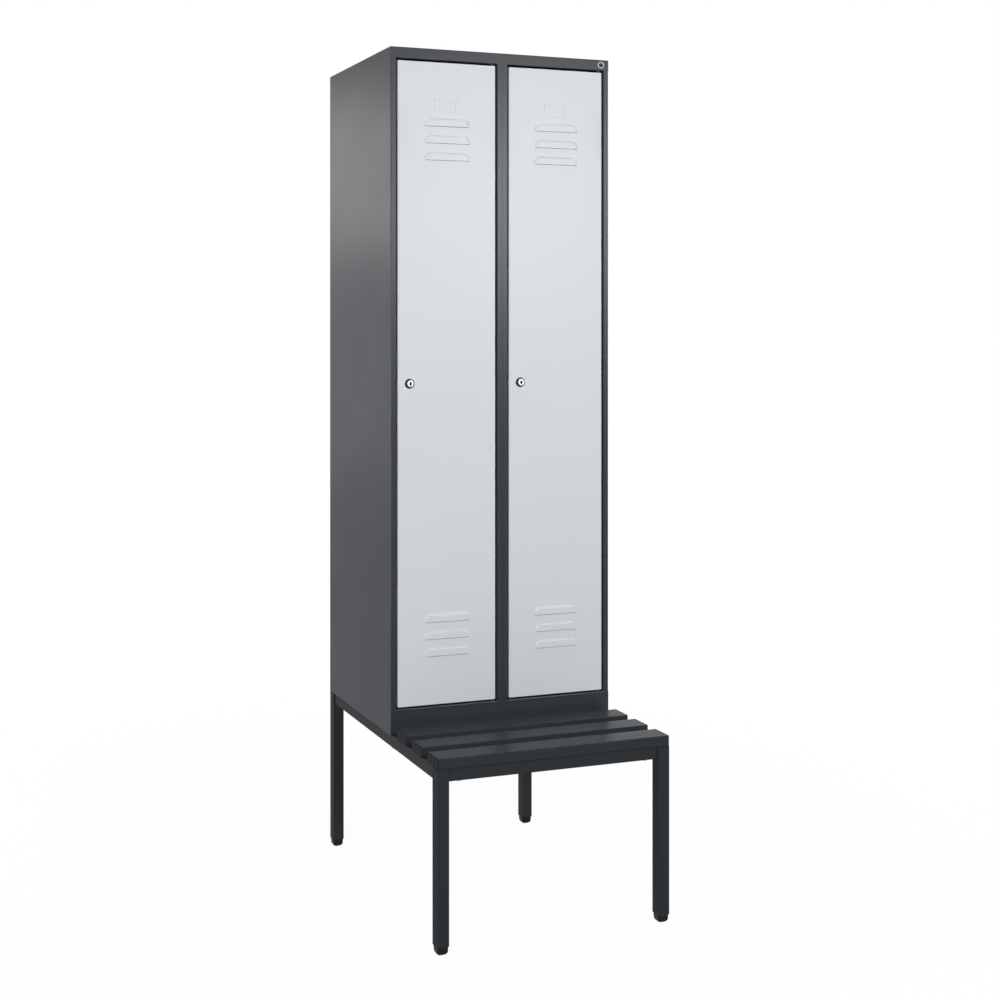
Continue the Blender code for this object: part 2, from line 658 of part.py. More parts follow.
def build_rail(side, low_x, high_x):
    half = Vector(((high_x - low_x) / 2 - RAIL_END_GAP, RAIL_WIDTH / 2, RAIL_HEIGHT / 2))
    centre = Vector(((low_x + high_x) / 2, RAIL_Y, RAIL_CENTRE_Z))
    add_tube("clothes_rail_" + side, centre - half, centre + half, "X", ZINC, RAIL_CORNER, RAIL_WALL)


def arc(centre_y, centre_z, radius, start, end, steps):
    """Points along an arc in the Y-Z plane, from one angle to another, in degrees."""
    angles = [math.radians(start + (end - start) * step / steps) for step in range(steps + 1)]
    return [(centre_y + radius * math.cos(a), centre_z + radius * math.sin(a)) for a in angles]


def hook_path():
    """The hook's wire: over the rail, in under it, and down into an open bend to the front."""
    side = RAIL_WIDTH / 2 + HOOK_CLEARANCE + HOOK_WIRE
    head = RAIL_HEIGHT / 2 + HOOK_CLEARANCE + HOOK_WIRE
    path = [(side, HOOK_TAIL - head)]
    path += arc(side - HOOK_CORNER, head - HOOK_CORNER, HOOK_CORNER, 0, 90, 4)
    path += arc(HOOK_CORNER - side, head - HOOK_CORNER, HOOK_CORNER, 90, 180, 4)
    path += arc(HOOK_CORNER - side, HOOK_CORNER - head, HOOK_CORNER, 180, 255, 3)
    path += arc(-HOOK_SHOULDER, -head - HOOK_BEND / 2, HOOK_SHOULDER, 60, 0, 2)
    foot = -head - HOOK_NECK
    path += arc(-HOOK_BEND, foot, HOOK_BEND, 0, -180, 8)
    path += [(-2 * HOOK_BEND, foot + HOOK_TIP)]
    return path


def build_hook(name, x):
    curve = bpy.data.curves.new(name, "CURVE")
    curve.dimensions = "3D"
    curve.bevel_depth = HOOK_WIRE
    curve.bevel_resolution = 2
    curve.use_fill_caps = True
    path = hook_path()
    spline = curve.splines.new("POLY")
    spline.points.add(len(path) - 1)
    for point, (y, z) in zip(spline.points, path):
        point.co = (0, y, z, 1)
    add_object(name, curve, (x, RAIL_Y, RAIL_CENTRE_Z), ZINC)


def build_inside():
    wall = HALF - SHEET - SEAT
    middle = SHEET / 2 + SEAT
    for side, low_x, high_x in (("left", -wall, -middle), ("right", middle, wall)):
        build_shelf(side, low_x, high_x)
        build_rail(side, low_x, high_x)
        centre = (low_x + high_x) / 2
        for number, x in enumerate((centre - HOOK_SPREAD, centre + HOOK_SPREAD), start=1):
            build_hook(f"rail_hook_{side}_{number}", x)


def corner_places():
    """Each corner of the frame: its name, and the signs of its x and y."""
    return [(f"{end}_{side}", sx, sy) for end, sy in (("front", -1), ("rear", 1))
            for side, sx in (("left", -1), ("right", 1))]


def bolt_places():
    """Front bolts rise through the side rails, rear bolts through the rear crossbar."""
    front = (HALF - TUBE / 2, FRONT_Y + PAN_LIP / 2)
    rear = (HALF - BOLT_INSET, BACK_Y - TUBE / 2)
    return [(sign * x, y) for x, y in (front, rear) for sign in (-1, 1)]


def slat_places():
    """Middle line of each slat, from the front."""
    first = BENCH_Y + SLAT_WIDTH / 2
    return [first + row * SLAT_PITCH for row in range(SLAT_COUNT)]


def screw_places():
    """The front slat is held through the front crossbar, the others through the side rails."""
    front = [(sign * (HALF - BOLT_INSET), BENCH_Y + TUBE / 2) for sign in (-1, 1)]
    others = [(sign * (HALF - TUBE / 2), y) for y in slat_places()[1:] for sign in (-1, 1)]
    return front + others


def drill(obj, name, places, radius, low_z, high_z):
    """Upright holes through a piece that has no rotation."""
    bm = bmesh.new()
    for x, y in places:
        add_rod(bm, (x, y, (low_z + high_z) / 2), radius, high_z - low_z, "Z", SMALL_ROUND_STEPS)
    cut(obj, add_tool(name, to_mesh(bm, name), (0, 0, 0)))


def build_legs():
    for corner, sx, sy in corner_places():
        near = Vector((sx * HALF, sy * DEPTH / 2, GLIDE_HEAD))
        far = Vector((sx * (HALF - TUBE), sy * (DEPTH / 2 - TUBE), FRAME_HEIGHT))
        low = [min(pair) for pair in zip(near, far)]
        high = [max(pair) for pair in zip(near, far)]
        add_tube("leg_" + corner, low, high, "Z", CARCASS, TUBE_CORNER, TUBE_WALL)
        build_glide(corner, (near + far) / 2)


def build_glide(corner, centre):
    """Plastic glide: a plug up the tube and a head that narrows to the floor."""
    name = "glide_" + corner
    half = TUBE / 2 - GLIDE_SHOULDER_INSET
    bm = bmesh.new()
    for vert in add_box(bm, (-half, -half, 0), (half, half, GLIDE_HEAD - SEAT)):
        if vert.co.z < GLIDE_HEAD / 2:
            vert.co.x -= math.copysign(GLIDE_TAPER, vert.co.x)
            vert.co.y -= math.copysign(GLIDE_TAPER, vert.co.y)
    glide = add_object(name, to_mesh(bm, name), (centre.x, centre.y, 0), BLACK_PLASTIC)
    weights = glide.data.attributes.new("bevel_weight_edge", "FLOAT", "EDGE")
    for edge in glide.data.edges:
        in_head = [glide.data.vertices[index].co.z > GLIDE_HEAD / 2 for index in edge.vertices]
        if not any(in_head):
            weights.data[edge.index].value = 1.0
        elif not all(in_head):
            weights.data[edge.index].value = TUBE_CORNER / GLIDE_FOOT_RADIUS
    round_edges(glide, GLIDE_FOOT_RADIUS, 4, "WEIGHT")
    plug = bmesh.new()
    inner = TUBE / 2 - TUBE_WALL - SEAT
    add_box(plug, (-inner, -inner, GLIDE_HEAD / 2), (inner, inner, GLIDE_HEAD + GLIDE_PLUG))
    tool = add_tool(name + "_plug", to_mesh(plug, name + "_plug"), (centre.x, centre.y, 0))
    round_edges(tool, TUBE_CORNER - TUBE_WALL, 1)
    join(glide, tool)


def build_side_rails():
    """Rails along the sides, narrower than the legs that they run between."""
    end = DEPTH / 2 - TUBE - SEAT
    outer = HALF - (TUBE - RAIL_TUBE) / 2
    for side, sign in (("left", -1), ("right", 1)):
        name = "side_rail_" + side
        low_x, high_x = sorted((sign * outer, sign * (outer - RAIL_TUBE)))
        rail = add_tube(name, (low_x, -end, FRAME_FOOT_Z), (high_x, end, FRAME_HEIGHT), "Y", CARCASS,
                        TUBE_CORNER, TUBE_WALL)
        screws = [spot for spot in screw_places()[2:] if spot[0] * sign > 0]
        bolts = [spot for spot in bolt_places()[:2] if spot[0] * sign > 0]
        drill(rail, name + "_screws", screws, SCREW_RADIUS + SEAT, FRAME_FOOT_Z - OVERRUN, FRAME_HEIGHT + OVERRUN)
        drill(rail, name + "_bolts", bolts, BOLT_RADIUS + SEAT, FRAME_FOOT_Z - OVERRUN, FRAME_HEIGHT + OVERRUN)


def build_crossbars():
    """Bars across the front and back, set back from the legs' faces like the side rails."""
    end = HALF - TUBE - SEAT
    middle = DEPTH / 2 - TUBE / 2
    for place, y, spots, radius in (("front", -middle, screw_places()[:2], SCREW_RADIUS),
                                    ("rear", middle, bolt_places()[2:], BOLT_RADIUS)):
        name = "crossbar_" + place
        low = (-end, y - RAIL_TUBE / 2, FRAME_FOOT_Z)
        bar = add_tube(name, low, (end, y + RAIL_TUBE / 2, FRAME_HEIGHT), "X", CARCASS, TUBE_CORNER, TUBE_WALL)
        drill(bar, name + "_holes", spots, radius + SEAT, FRAME_FOOT_Z - OVERRUN, FRAME_HEIGHT + OVERRUN)


def build_slats():
    names = ["slat_front", "slat_middle", "slat_rear"]
    size = (CABINET_WIDTH - 2 * SLAT_INSET, SLAT_WIDTH, SLAT_THICKNESS)
    foot = FRAME_HEIGHT + SEAT
    for name, y in zip(names, slat_places()):
        slat = add_object(name, centred_box(name, size), (0, y, foot + SLAT_THICKNESS / 2), SLAT)
        weights = slat.data.attributes.new("bevel_weight_edge", "FLOAT", "EDGE")
        for edge in slat.data.edges:
            upper = any(slat.data.vertices[index].co.z > 0 for index in edge.vertices)
            weights.data[edge.index].value = SLAT_EDGE / SLAT_FOOT_EDGE if upper else 1.0
        round_edges(slat, SLAT_FOOT_EDGE, 2, "WEIGHT")
        spots = [spot for spot in screw_places() if abs(spot[1] - y) < SLAT_WIDTH / 2]
        drill(slat, name + "_holes", spots, SCREW_RADIUS + SEAT, foot - OVERRUN, foot + SCREW_GRIP + SEAT)


def build_fastener(name, x, y, radius, head_radius, head_height, head_steps, top_z):
    """A shank up through the frame with its head against the tube from below."""
    head_top = FRAME_FOOT_Z - SEAT
    bm = bmesh.new()
    add_rod(bm, (0, 0, -head_height / 2), head_radius, head_height, "Z", head_steps)
    fastener = add_object(name, to_mesh(bm, name), (x, y, head_top), ZINC)
    shank = bmesh.new()
    low = -head_height / 2
    high = top_z - head_top
    add_rod(shank, (0, 0, (low + high) / 2), radius, high - low, "Z", SMALL_ROUND_STEPS)
    join(fastener, add_tool(name + "_shank", to_mesh(shank, name + "_shank"), (x, y, head_top)))


def build_fasteners():
    names = [f"slat_screw_{row}_{side}" for row in ("front", "middle", "rear") for side in ("left", "right")]
    for name, (x, y) in zip(names, screw_places()):
        build_fastener(name, x, y, SCREW_RADIUS, SCREW_HEAD_RADIUS, SCREW_HEAD_HEIGHT, SMALL_ROUND_STEPS,
                       FRAME_HEIGHT + SEAT + SCREW_GRIP)
    corners = BOLT_HEAD_FLATS / math.cos(math.pi / 6) / 2
    for (corner, _, _), (x, y) in zip(corner_places(), bolt_places()):
        build_fastener("cabinet_bolt_" + corner, x, y, BOLT_RADIUS, corners, BOLT_HEAD_HEIGHT, 6,
                       FOOT_Z + SHEET + BOLT_END)


clear_scene()
parts = new_collection("locker_with_bench")
cutters = new_collection("cutters")
build_side_panels()
build_centre_stile()
build_partition()
build_back_panel()
build_top_panel()
build_bottom_panel()
build_doors()
build_inside()
build_legs()
build_side_rails()
build_crossbars()
build_slats()
build_fasteners()
for piece in parts.objects:
    if piece.type == "MESH":
        shade(piece)
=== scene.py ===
"""Looks for a steel clothes locker with a slatted bench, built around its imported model."""
import math

import bmesh
import bpy
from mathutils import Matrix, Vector


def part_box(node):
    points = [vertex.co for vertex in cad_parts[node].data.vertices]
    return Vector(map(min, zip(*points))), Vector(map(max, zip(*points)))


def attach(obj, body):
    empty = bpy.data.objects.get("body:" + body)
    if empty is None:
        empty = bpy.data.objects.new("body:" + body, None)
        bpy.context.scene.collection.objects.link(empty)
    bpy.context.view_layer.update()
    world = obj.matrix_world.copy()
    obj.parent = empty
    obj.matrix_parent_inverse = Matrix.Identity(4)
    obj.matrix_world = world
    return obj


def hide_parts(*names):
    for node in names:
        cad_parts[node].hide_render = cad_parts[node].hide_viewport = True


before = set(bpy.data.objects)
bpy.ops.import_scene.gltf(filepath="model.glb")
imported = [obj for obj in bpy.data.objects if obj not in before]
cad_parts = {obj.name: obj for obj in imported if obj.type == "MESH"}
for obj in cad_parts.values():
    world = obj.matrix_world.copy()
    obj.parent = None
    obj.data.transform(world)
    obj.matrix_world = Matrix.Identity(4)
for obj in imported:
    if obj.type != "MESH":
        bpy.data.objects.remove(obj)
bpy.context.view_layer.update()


# The studio: a sheet of white paper in a white room, lit by soft lamps. One lamp stands where the
# doors mirror it near their heads, another where the left side does. The camera is at the
# photograph's place, and its shift only sets the framing.

class Level:
    """A number, colour or place that changes over a surface. Arithmetic on it adds nodes."""

    def __init__(self, paint, socket):
        self.paint = paint
        self.socket = socket

    def _maths(self, operation, first, second):
        return self.paint.node("ShaderNodeMath", {"operation": operation}, {0: first, 1: second})

    def __add__(self, other):
        return self._maths("ADD", self, other)

    def __sub__(self, other):
        return self._maths("SUBTRACT", self, other)

    def __rsub__(self, other):
        return self._maths("SUBTRACT", other, self)

    def __mul__(self, other):
        return self._maths("MULTIPLY", self, other)

    __radd__ = __add__
    __rmul__ = __mul__


class Paint:
    """The shader nodes of one material, or of the room."""

    def __init__(self, owner):
        owner.use_nodes = True
        self.tree = owner.node_tree

    def node(self, kind, settings, inputs, output=0):
        node = self.tree.nodes.new(kind)
        for label, value in settings.items():
            setattr(node, label, value)
        for label, value in inputs.items():
            if isinstance(value, Level):
                self.tree.links.new(value.socket, node.inputs[label])
            else:
                node.inputs[label].default_value = value
        return Level(self, node.outputs[output])

    def mix(self, share, first, second):
        """A blend of two colours."""
        return self.node("ShaderNodeMix", {"data_type": "RGBA"},
                         {0: share, 6: (*first, 1.0), 7: (*second, 1.0)}, 2)

    def looked_at(self):
        """1 for a ray that looks at the backdrop, also in a shiny or clear surface, and otherwise 0."""
        rays = [self.node("ShaderNodeLightPath", {}, {}, f"Is {kind} Ray")
                for kind in ("Camera", "Glossy", "Transmission")]
        first = self.node("ShaderNodeMath", {"operation": "MAXIMUM"}, {0: rays[0], 1: rays[1]})
        return self.node("ShaderNodeMath", {"operation": "MAXIMUM"}, {0: first, 1: rays[2]})


WHITE = (1.0, 1.0, 1.0)
ROOM_GREY = (0.17, 0.17, 0.17)
PAPER_GREY = (0.30, 0.30, 0.30)
PAPER_SIZE = 60.0
SHADOW_REACH = 0.9
SHADOW_END = 2.2
SHADOW_GLOW = 0.95
CAMERA_PLACE = (-1.5658, -3.6420, 1.4302)
CAMERA_TURN = math.radians(19.94)
FILM_WIDTH = 36.0
LENS_LENGTH = 55.04
LENS_SHIFT = (0.101, -0.172)


def soft_lamp(name, place, target, width, height, power):
    """An oblong lamp that faces a target, with its power in watts."""
    lamp = bpy.data.lights.new(name, "AREA")
    lamp.shape = "RECTANGLE"
    lamp.size = width
    lamp.size_y = height
    lamp.energy = power
    obj = bpy.data.objects.new(name, lamp)
    obj.location = place
    obj.rotation_euler = (Vector(target) - Vector(place)).to_track_quat("-Z", "Y").to_euler()
    bpy.context.scene.collection.objects.link(obj)


soft_lamp("lamp_front_right", (1.65, -3.75, 2.10), (0.0, 0.0, 1.78), 1.3, 0.85, 81)
soft_lamp("lamp_front_left", (-2.6, -3.2, 1.9), (0.0, 0.0, 1.2), 1.6, 1.2, 66)
soft_lamp("lamp_back_left_high", (-1.75, 4.1, 2.26), (-0.3, 0.1, 1.8), 1.0, 0.85, 10.5)
soft_lamp("lamp_back_left_low", (-1.75, 4.1, 1.2), (-0.3, 0.1, 1.2), 1.0, 1.1, 3)
soft_lamp("lamp_left", (-3.0, 1.5, 1.0), (0.0, 0.2, 0.9), 1.3, 1.7, 43)
soft_lamp("lamp_above_bench", (-0.2, -0.7, 9.0), (-0.2, -0.5, 0.0), 2.4, 2.4, 98)
soft_lamp("lamp_right", (4.0, 1.2, 1.6), (0.0, 0.2, 1.2), 1.6, 2.0, 70)
soft_lamp("lamp_behind", (0.6, 4.5, 3.0), (0.0, 0.4, 1.3), 2.0, 2.0, 50)

room = bpy.data.worlds.new("white_room")
bpy.context.scene.world = room
room_paint = Paint(room)
background = room_paint.tree.nodes["Background"]
room_colour = room_paint.mix(room_paint.looked_at(), ROOM_GREY, WHITE)
room_paint.tree.links.new(room_colour.socket, background.inputs["Color"])

bpy.ops.object.select_all(action="DESELECT")
bpy.ops.mesh.primitive_plane_add(size=PAPER_SIZE, location=(0.0, 0.0, 0.0))
floor = bpy.context.object
floor.name = "studio_floor"
paper = bpy.data.materials.new("studio_paper")
paper_paint = Paint(paper)
paper_paint.tree.nodes.remove(paper_paint.tree.nodes["Principled BSDF"])
seen = paper_paint.looked_at()
matt = paper_paint.node("ShaderNodeBsdfDiffuse", {}, {"Color": paper_paint.mix(seen, PAPER_GREY, WHITE)})
glow = paper_paint.node("ShaderNodeEmission", {}, {"Strength": 1.0})
# Near the object the paper takes its shadow, further off it is as white as the room
place = paper_paint.node("ShaderNodeTexCoord", {}, {}, "Object")
reach = paper_paint.node("ShaderNodeVectorMath", {"operation": "LENGTH"}, {0: place}, "Value")
fade = paper_paint.node("ShaderNodeMapRange", {}, {
    "Value": reach, "From Min": SHADOW_REACH, "From Max": SHADOW_END, "To Min": SHADOW_GLOW, "To Max": 1.0})
blend = paper_paint.node("ShaderNodeMixShader", {}, {0: fade * seen, 1: matt, 2: glow})
paper_paint.tree.links.new(blend.socket, paper_paint.tree.nodes["Material Output"].inputs["Surface"])
floor.data.materials.append(paper)

lens = bpy.data.cameras.new("camera")
lens.sensor_width = FILM_WIDTH
lens.lens = LENS_LENGTH
lens.shift_x, lens.shift_y = LENS_SHIFT
camera = bpy.data.objects.new("camera", lens)
camera.location = CAMERA_PLACE
camera.rotation_euler = (math.radians(90), 0.0, -CAMERA_TURN)
bpy.context.scene.collection.objects.link(camera)
bpy.context.scene.camera = camera
bpy.context.scene.view_settings.view_transform = "Standard"


# The frame is cut from square steel tube: four legs, two side rails and two crossbars, set back a
# little from the legs' faces. It is welded at the corners and powder coated in satin anthracite.

TUBE_CORNER = 0.0012
TUBE_WALL = 0.0015
CORNER_STEPS = 5
NEAR = 0.00002
FACING = 0.9
SMOOTH = math.radians(32)
COAT_ROUGHNESS = 0.6
CLOUD_SCALE = 2.2
CLOUD_SPREAD = 0.03
SHEEN_SCALE = 7.0
SHEEN_SPREAD = 0.2
PEEL_SCALE = 700.0
PEEL_DETAIL = 3.0
PEEL_DEPTH = 0.00003
FRAME_SHINE = 0.12
FRAME_BLUR = 0.40
FRAME_COLOUR = (0.0285, 0.0335, 0.0378)
# The frame colour made paler: painted light for the side rails and rear legs
PAINTED_LIGHT_COLOUR = (0.0435, 0.0460, 0.0480)


class Coat(Paint):
    """A finish whose colour, gloss and grain vary over the piece."""

    def __init__(self, name, colour, roughness, **fixed):
        self.material = bpy.data.materials.new(name)
        super().__init__(self.material)
        self.shader = self.tree.nodes["Principled BSDF"]
        self.colour = colour
        self.roughness = roughness
        for label, value in {"Base Color": (*colour, 1.0), "Roughness": roughness, **fixed}.items():
            self.shader.inputs[label].default_value = value
        self.place = self.node("ShaderNodeTexCoord", {}, {}, "Object")

    def speckle(self, scale, detail=2.0, stretch=(1.0, 1.0, 1.0)):
        """Soft noise from 0 to 1, drawn out along an axis by a small stretch."""
        drawn = self.node("ShaderNodeMapping", {}, {"Vector": self.place, "Scale": stretch})
        return self.node("ShaderNodeTexNoise", {}, {"Vector": drawn, "Scale": scale, "Detail": detail}, "Fac")

    def feed(self, label, level):
        self.tree.links.new(level.socket, self.shader.inputs[label])

    def tint(self, level, spread):
        """Vary the colour by a share of itself to either side."""
        darker = [part * (1 - spread) for part in self.colour]
        paler = [min(part * (1 + spread), 1.0) for part in self.colour]
        self.feed("Base Color", self.mix(level, darker, paler))

    def gloss(self, level, spread):
        self.feed("Roughness", level * (2 * spread) + (self.roughness - spread))

    def grain(self, level, depth):
        self.feed("Normal", self.node("ShaderNodeBump", {}, {"Height": level, "Distance": depth}, "Normal"))


def powder_coat(name, colour, shine, blur):
    """Baked powder: a faint cloudiness in colour and shine over a fine orange peel."""
    coat = Coat(name, colour, COAT_ROUGHNESS, **{"Specular IOR Level": 0.0, "Coat Roughness": blur})
    coat.tint(coat.speckle(CLOUD_SCALE), CLOUD_SPREAD)
    sheen = coat.speckle(SHEEN_SCALE) * (SHEEN_SPREAD * shine)
    coat.feed("Coat Weight", sheen + (1 - SHEEN_SPREAD / 2) * shine)
    coat.grain(coat.speckle(PEEL_SCALE, PEEL_DETAIL), PEEL_DEPTH)
    return coat.material


def add_block(low, high):
    """A box between two corners, with its place in its mesh."""
    bpy.ops.object.select_all(action="DESELECT")
    bpy.ops.mesh.primitive_cube_add(size=1.0, location=(Vector(low) + Vector(high)) / 2)
    block = bpy.context.object
    block.scale = Vector(high) - Vector(low)
    bpy.ops.object.transform_apply(location=True, rotation=True, scale=True)
    return block


def pick(kind, test):
    """Select what passes a test of itself and its middle, in the mesh that is open for editing."""
    bpy.ops.mesh.select_mode(type=kind)
    bpy.ops.mesh.select_all(action="DESELECT")
    mesh = bpy.context.object.data
    shape = bmesh.from_edit_mesh(mesh)
    for item in {"VERT": shape.verts, "EDGE": shape.edges, "FACE": shape.faces}[kind]:
        corners = [item] if kind == "VERT" else item.verts
        middle = sum((vert.co for vert in corners), Vector()) / len(corners)
        if test(item, middle):
            item.select_set(True)
    shape.select_flush_mode()
    bmesh.update_edit_mesh(mesh)


def runs_along(edge, axis):
    step = edge.verts[0].co - edge.verts[1].co
    return abs(step[axis]) > FACING * step.length


def apply_modifier(piece, kind, **settings):
    modifier = piece.modifiers.new("shape", kind)
    for label, value in settings.items():
        setattr(modifier, label, value)
    bpy.context.view_layer.objects.active = piece
    bpy.ops.object.modifier_apply(modifier="shape")


def finish_piece(piece, name, body, slot, material, *nodes):
    """Smooth, name and coat a piece, and let it ride on a body in place of CAD nodes."""
    bpy.ops.object.select_all(action="DESELECT")
    piece.select_set(True)
    bpy.context.view_layer.objects.active = piece
    bpy.ops.object.shade_smooth_by_angle(angle=SMOOTH)
    apply_modifier(piece, "WEIGHTED_NORMAL", keep_sharp=True)
    piece.name = name
    piece.data.name = name
    if material:
        piece.data.materials.clear()
        piece.data.materials.append(material)
    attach(piece, body)
    if nodes:
        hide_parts(*nodes)


def copy_piece(piece, shift):
    """A copy with a mesh of its own, moved into place."""
    copy = piece.copy()
    copy.data = piece.data.copy()
    bpy.context.scene.collection.objects.link(copy)
    bpy.ops.object.select_all(action="DESELECT")
    copy.select_set(True)
    bpy.context.view_layer.objects.active = copy
    copy.location = shift
    bpy.ops.object.transform_apply(location=True, rotation=True, scale=True)
    return copy


def square_tube(node, axis):
    """A tube with rounded corners and open ends, where the CAD node has it."""
    tube = add_block(*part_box(node))
    bpy.ops.object.mode_set(mode="EDIT")
    pick("FACE", lambda face, middle: abs(face.normal[axis]) > FACING)
    bpy.ops.mesh.delete(type="ONLY_FACE")
    pick("EDGE", lambda edge, middle: runs_along(edge, axis))
    bpy.ops.mesh.bevel(offset=TUBE_CORNER, segments=CORNER_STEPS)
    bpy.ops.object.mode_set(mode="OBJECT")
    apply_modifier(tube, "SOLIDIFY", thickness=TUBE_WALL, offset=-1.0, use_even_offset=True)
    return tube


# The side rails and the rear legs get a paler copy of the frame coat, which is painted light on the same
# powder coat
frame_coat = powder_coat("frame_powder_coat", FRAME_COLOUR, FRAME_SHINE, FRAME_BLUR)
painted_light_coat = powder_coat("frame_powder_coat_painted_light", PAINTED_LIGHT_COLOUR, FRAME_SHINE, FRAME_BLUR)
CORNERS = ("front_left", "front_right", "rear_left", "rear_right")
for first, names, axis in (("leg_front_left", ["leg_" + corner for corner in CORNERS], 2),
                           ("side_rail_left", ["side_rail_left", "side_rail_right"], 1),
                           ("crossbar_front", ["crossbar_front", "crossbar_rear"], 0)):
    pattern = square_tube(first, axis)
    for name in names[::-1]:
        tube = pattern if name == first else copy_piece(pattern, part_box(name)[0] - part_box(first)[0])
        coat = painted_light_coat if name.startswith(("side_rail", "leg_rear")) else frame_coat
        finish_piece(tube, name + "_tube", "cabinet", "carcass_steel", coat, name)


# Small fillet welds run up both flanks of every rail where it meets a leg. They are of steel, laid
# down before the frame is coated, and their ripples show through the coat.

BEAD_RADIUS = 0.0019
BEAD_SHORT = 0.0015
BEAD_SIDES = 12
BEAD_RIPPLES = 13
RIPPLE = 0.86


def join_pieces(pieces):
    bpy.ops.object.select_all(action="DESELECT")
    for piece in pieces:
        piece.select_set(True)
    bpy.context.view_layer.objects.active = pieces[0]
    bpy.ops.object.join()
    return pieces[0]


leg_low, leg_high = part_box("leg_front_left")
rail_low, rail_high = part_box("side_rail_left")
bar_low, bar_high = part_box("crossbar_front")
bead_middle = Vector((rail_low.x, leg_high.y, (rail_low.z + rail_high.z) / 2))
bead_length = rail_high.z - rail_low.z - 2 * BEAD_SHORT
bpy.ops.object.select_all(action="DESELECT")
bpy.ops.mesh.primitive_cylinder_add(vertices=BEAD_SIDES, radius=BEAD_RADIUS, depth=bead_length,
                                    location=bead_middle)
bead = bpy.context.object
bpy.ops.object.transform_apply(location=True, rotation=True, scale=True)
bpy.ops.object.mode_set(mode="EDIT")
pick("EDGE", lambda edge, middle: runs_along(edge, 2))
bpy.ops.mesh.subdivide(number_cuts=BEAD_RIPPLES)
step = bead_length / (BEAD_RIPPLES + 1)
foot = bead_middle.z - bead_length / 2
pick("VERT", lambda vert, middle: round((middle.z - foot) / step) % 2 == 0)
bpy.ops.transform.resize(value=(RIPPLE, RIPPLE, 1.0), center_override=bead_middle)
bpy.ops.object.mode_set(mode="OBJECT")
beads = [bead]
spots = []
for x in (rail_low.x, rail_high.x, -rail_low.x, -rail_high.x):
    spots += [(x, leg_high.y), (x, -leg_high.y)]
for y in (bar_low.y, bar_high.y, -bar_low.y, -bar_high.y):
    spots += [(leg_high.x, y), (-leg_high.x, y)]
for x, y in spots[1:]:
    beads.append(copy_piece(bead, Vector((x, y, bead_middle.z)) - bead_middle))
finish_piece(join_pieces(beads), "frame_welds", "cabinet", "carcass_steel", frame_coat)


# Each leg ends in a glide of moulded black plastic, which is pushed up into the tube and narrows
# to a domed foot below it.

GLIDE_TAPER = 0.0008
GLIDE_CORNER = 0.0035
GLIDE_CORNER_STEPS = 3
GLIDE_DOME = 0.0095
DOME_STEPS = 6
SHOULDER_GAP = 0.0003
SHOULDER_ROUND = 0.0006
SHOULDER_STEPS = 2
GLIDE_BLACK = (0.010, 0.010, 0.011)

glide_plastic = Coat("glide_plastic", GLIDE_BLACK, roughness=0.42, **{"Specular IOR Level": 0.12})
glide_plastic.gloss(glide_plastic.speckle(scale=60.0), spread=0.06)
glide_plastic.grain(glide_plastic.speckle(scale=900.0), depth=0.00004)
glide_low, glide_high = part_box("glide_front_left")
shoulder_z = leg_low.z - SHOULDER_GAP
glide = add_block(glide_low, (glide_high.x, glide_high.y, shoulder_z))
glide_middle = (glide_low + glide_high) / 2
half = (glide_high.x - glide_low.x) / 2
bpy.ops.object.mode_set(mode="EDIT")
pick("FACE", lambda face, middle: face.normal.z < -FACING)
shrink = (half - GLIDE_TAPER) / half
foot_middle = (glide_middle.x, glide_middle.y, 0.0)
bpy.ops.transform.resize(value=(shrink, shrink, 1.0), center_override=foot_middle)
pick("EDGE", lambda edge, middle: middle.z < NEAR)
bpy.ops.mesh.bevel(offset=GLIDE_DOME, segments=DOME_STEPS)


def on_diagonal(vert):
    """Whether a corner lies on a diagonal of the foot."""
    return abs(abs(vert.co.x - glide_middle.x) - abs(vert.co.y - glide_middle.y)) < NEAR


pick("EDGE", lambda edge, middle: on_diagonal(edge.verts[0]) and on_diagonal(edge.verts[1]))
bpy.ops.mesh.bevel(offset=GLIDE_CORNER, segments=GLIDE_CORNER_STEPS)
# The bevels dip a little under the floor, so the foot is pressed flat there
pick("VERT", lambda vert, middle: middle.z < 0.0)
bpy.ops.transform.resize(value=(1.0, 1.0, 0.0), center_override=foot_middle)
pick("EDGE", lambda edge, middle: middle.z > shoulder_z - NEAR)
bpy.ops.mesh.bevel(offset=SHOULDER_ROUND, segments=SHOULDER_STEPS)
bpy.ops.object.mode_set(mode="OBJECT")
for corner in CORNERS[1:] + CORNERS[:1]:
    node = "glide_" + corner
    piece = glide if corner == CORNERS[0] else copy_piece(glide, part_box(node)[0] - glide_low)
    finish_piece(piece, node + "_foot", "cabinet", "black_plastic", glide_plastic.material, node)


# The cabinet is folded from steel sheet and welded along its seams, which are ground flush. It is
# coated like the frame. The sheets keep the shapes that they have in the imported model.

ANTHRACITE = (0.0293, 0.0342, 0.0425)
BLACK = (0.0, 0.0, 0.0)
CABINET_SHINE = 0.39
CABINET_BLUR = 0.30


def coat_nodes(material, *names):
    for name in names:
        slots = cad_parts[name].data.materials
        slots.clear()
        slots.append(material)


anthracite = powder_coat("anthracite_powder_coat", ANTHRACITE, CABINET_SHINE, CABINET_BLUR)
coat_nodes(anthracite, "side_panel_left", "side_panel_right", "partition", "back_panel", "top_panel",
           "bottom_panel", "hat_shelf_left", "hat_shelf_right")
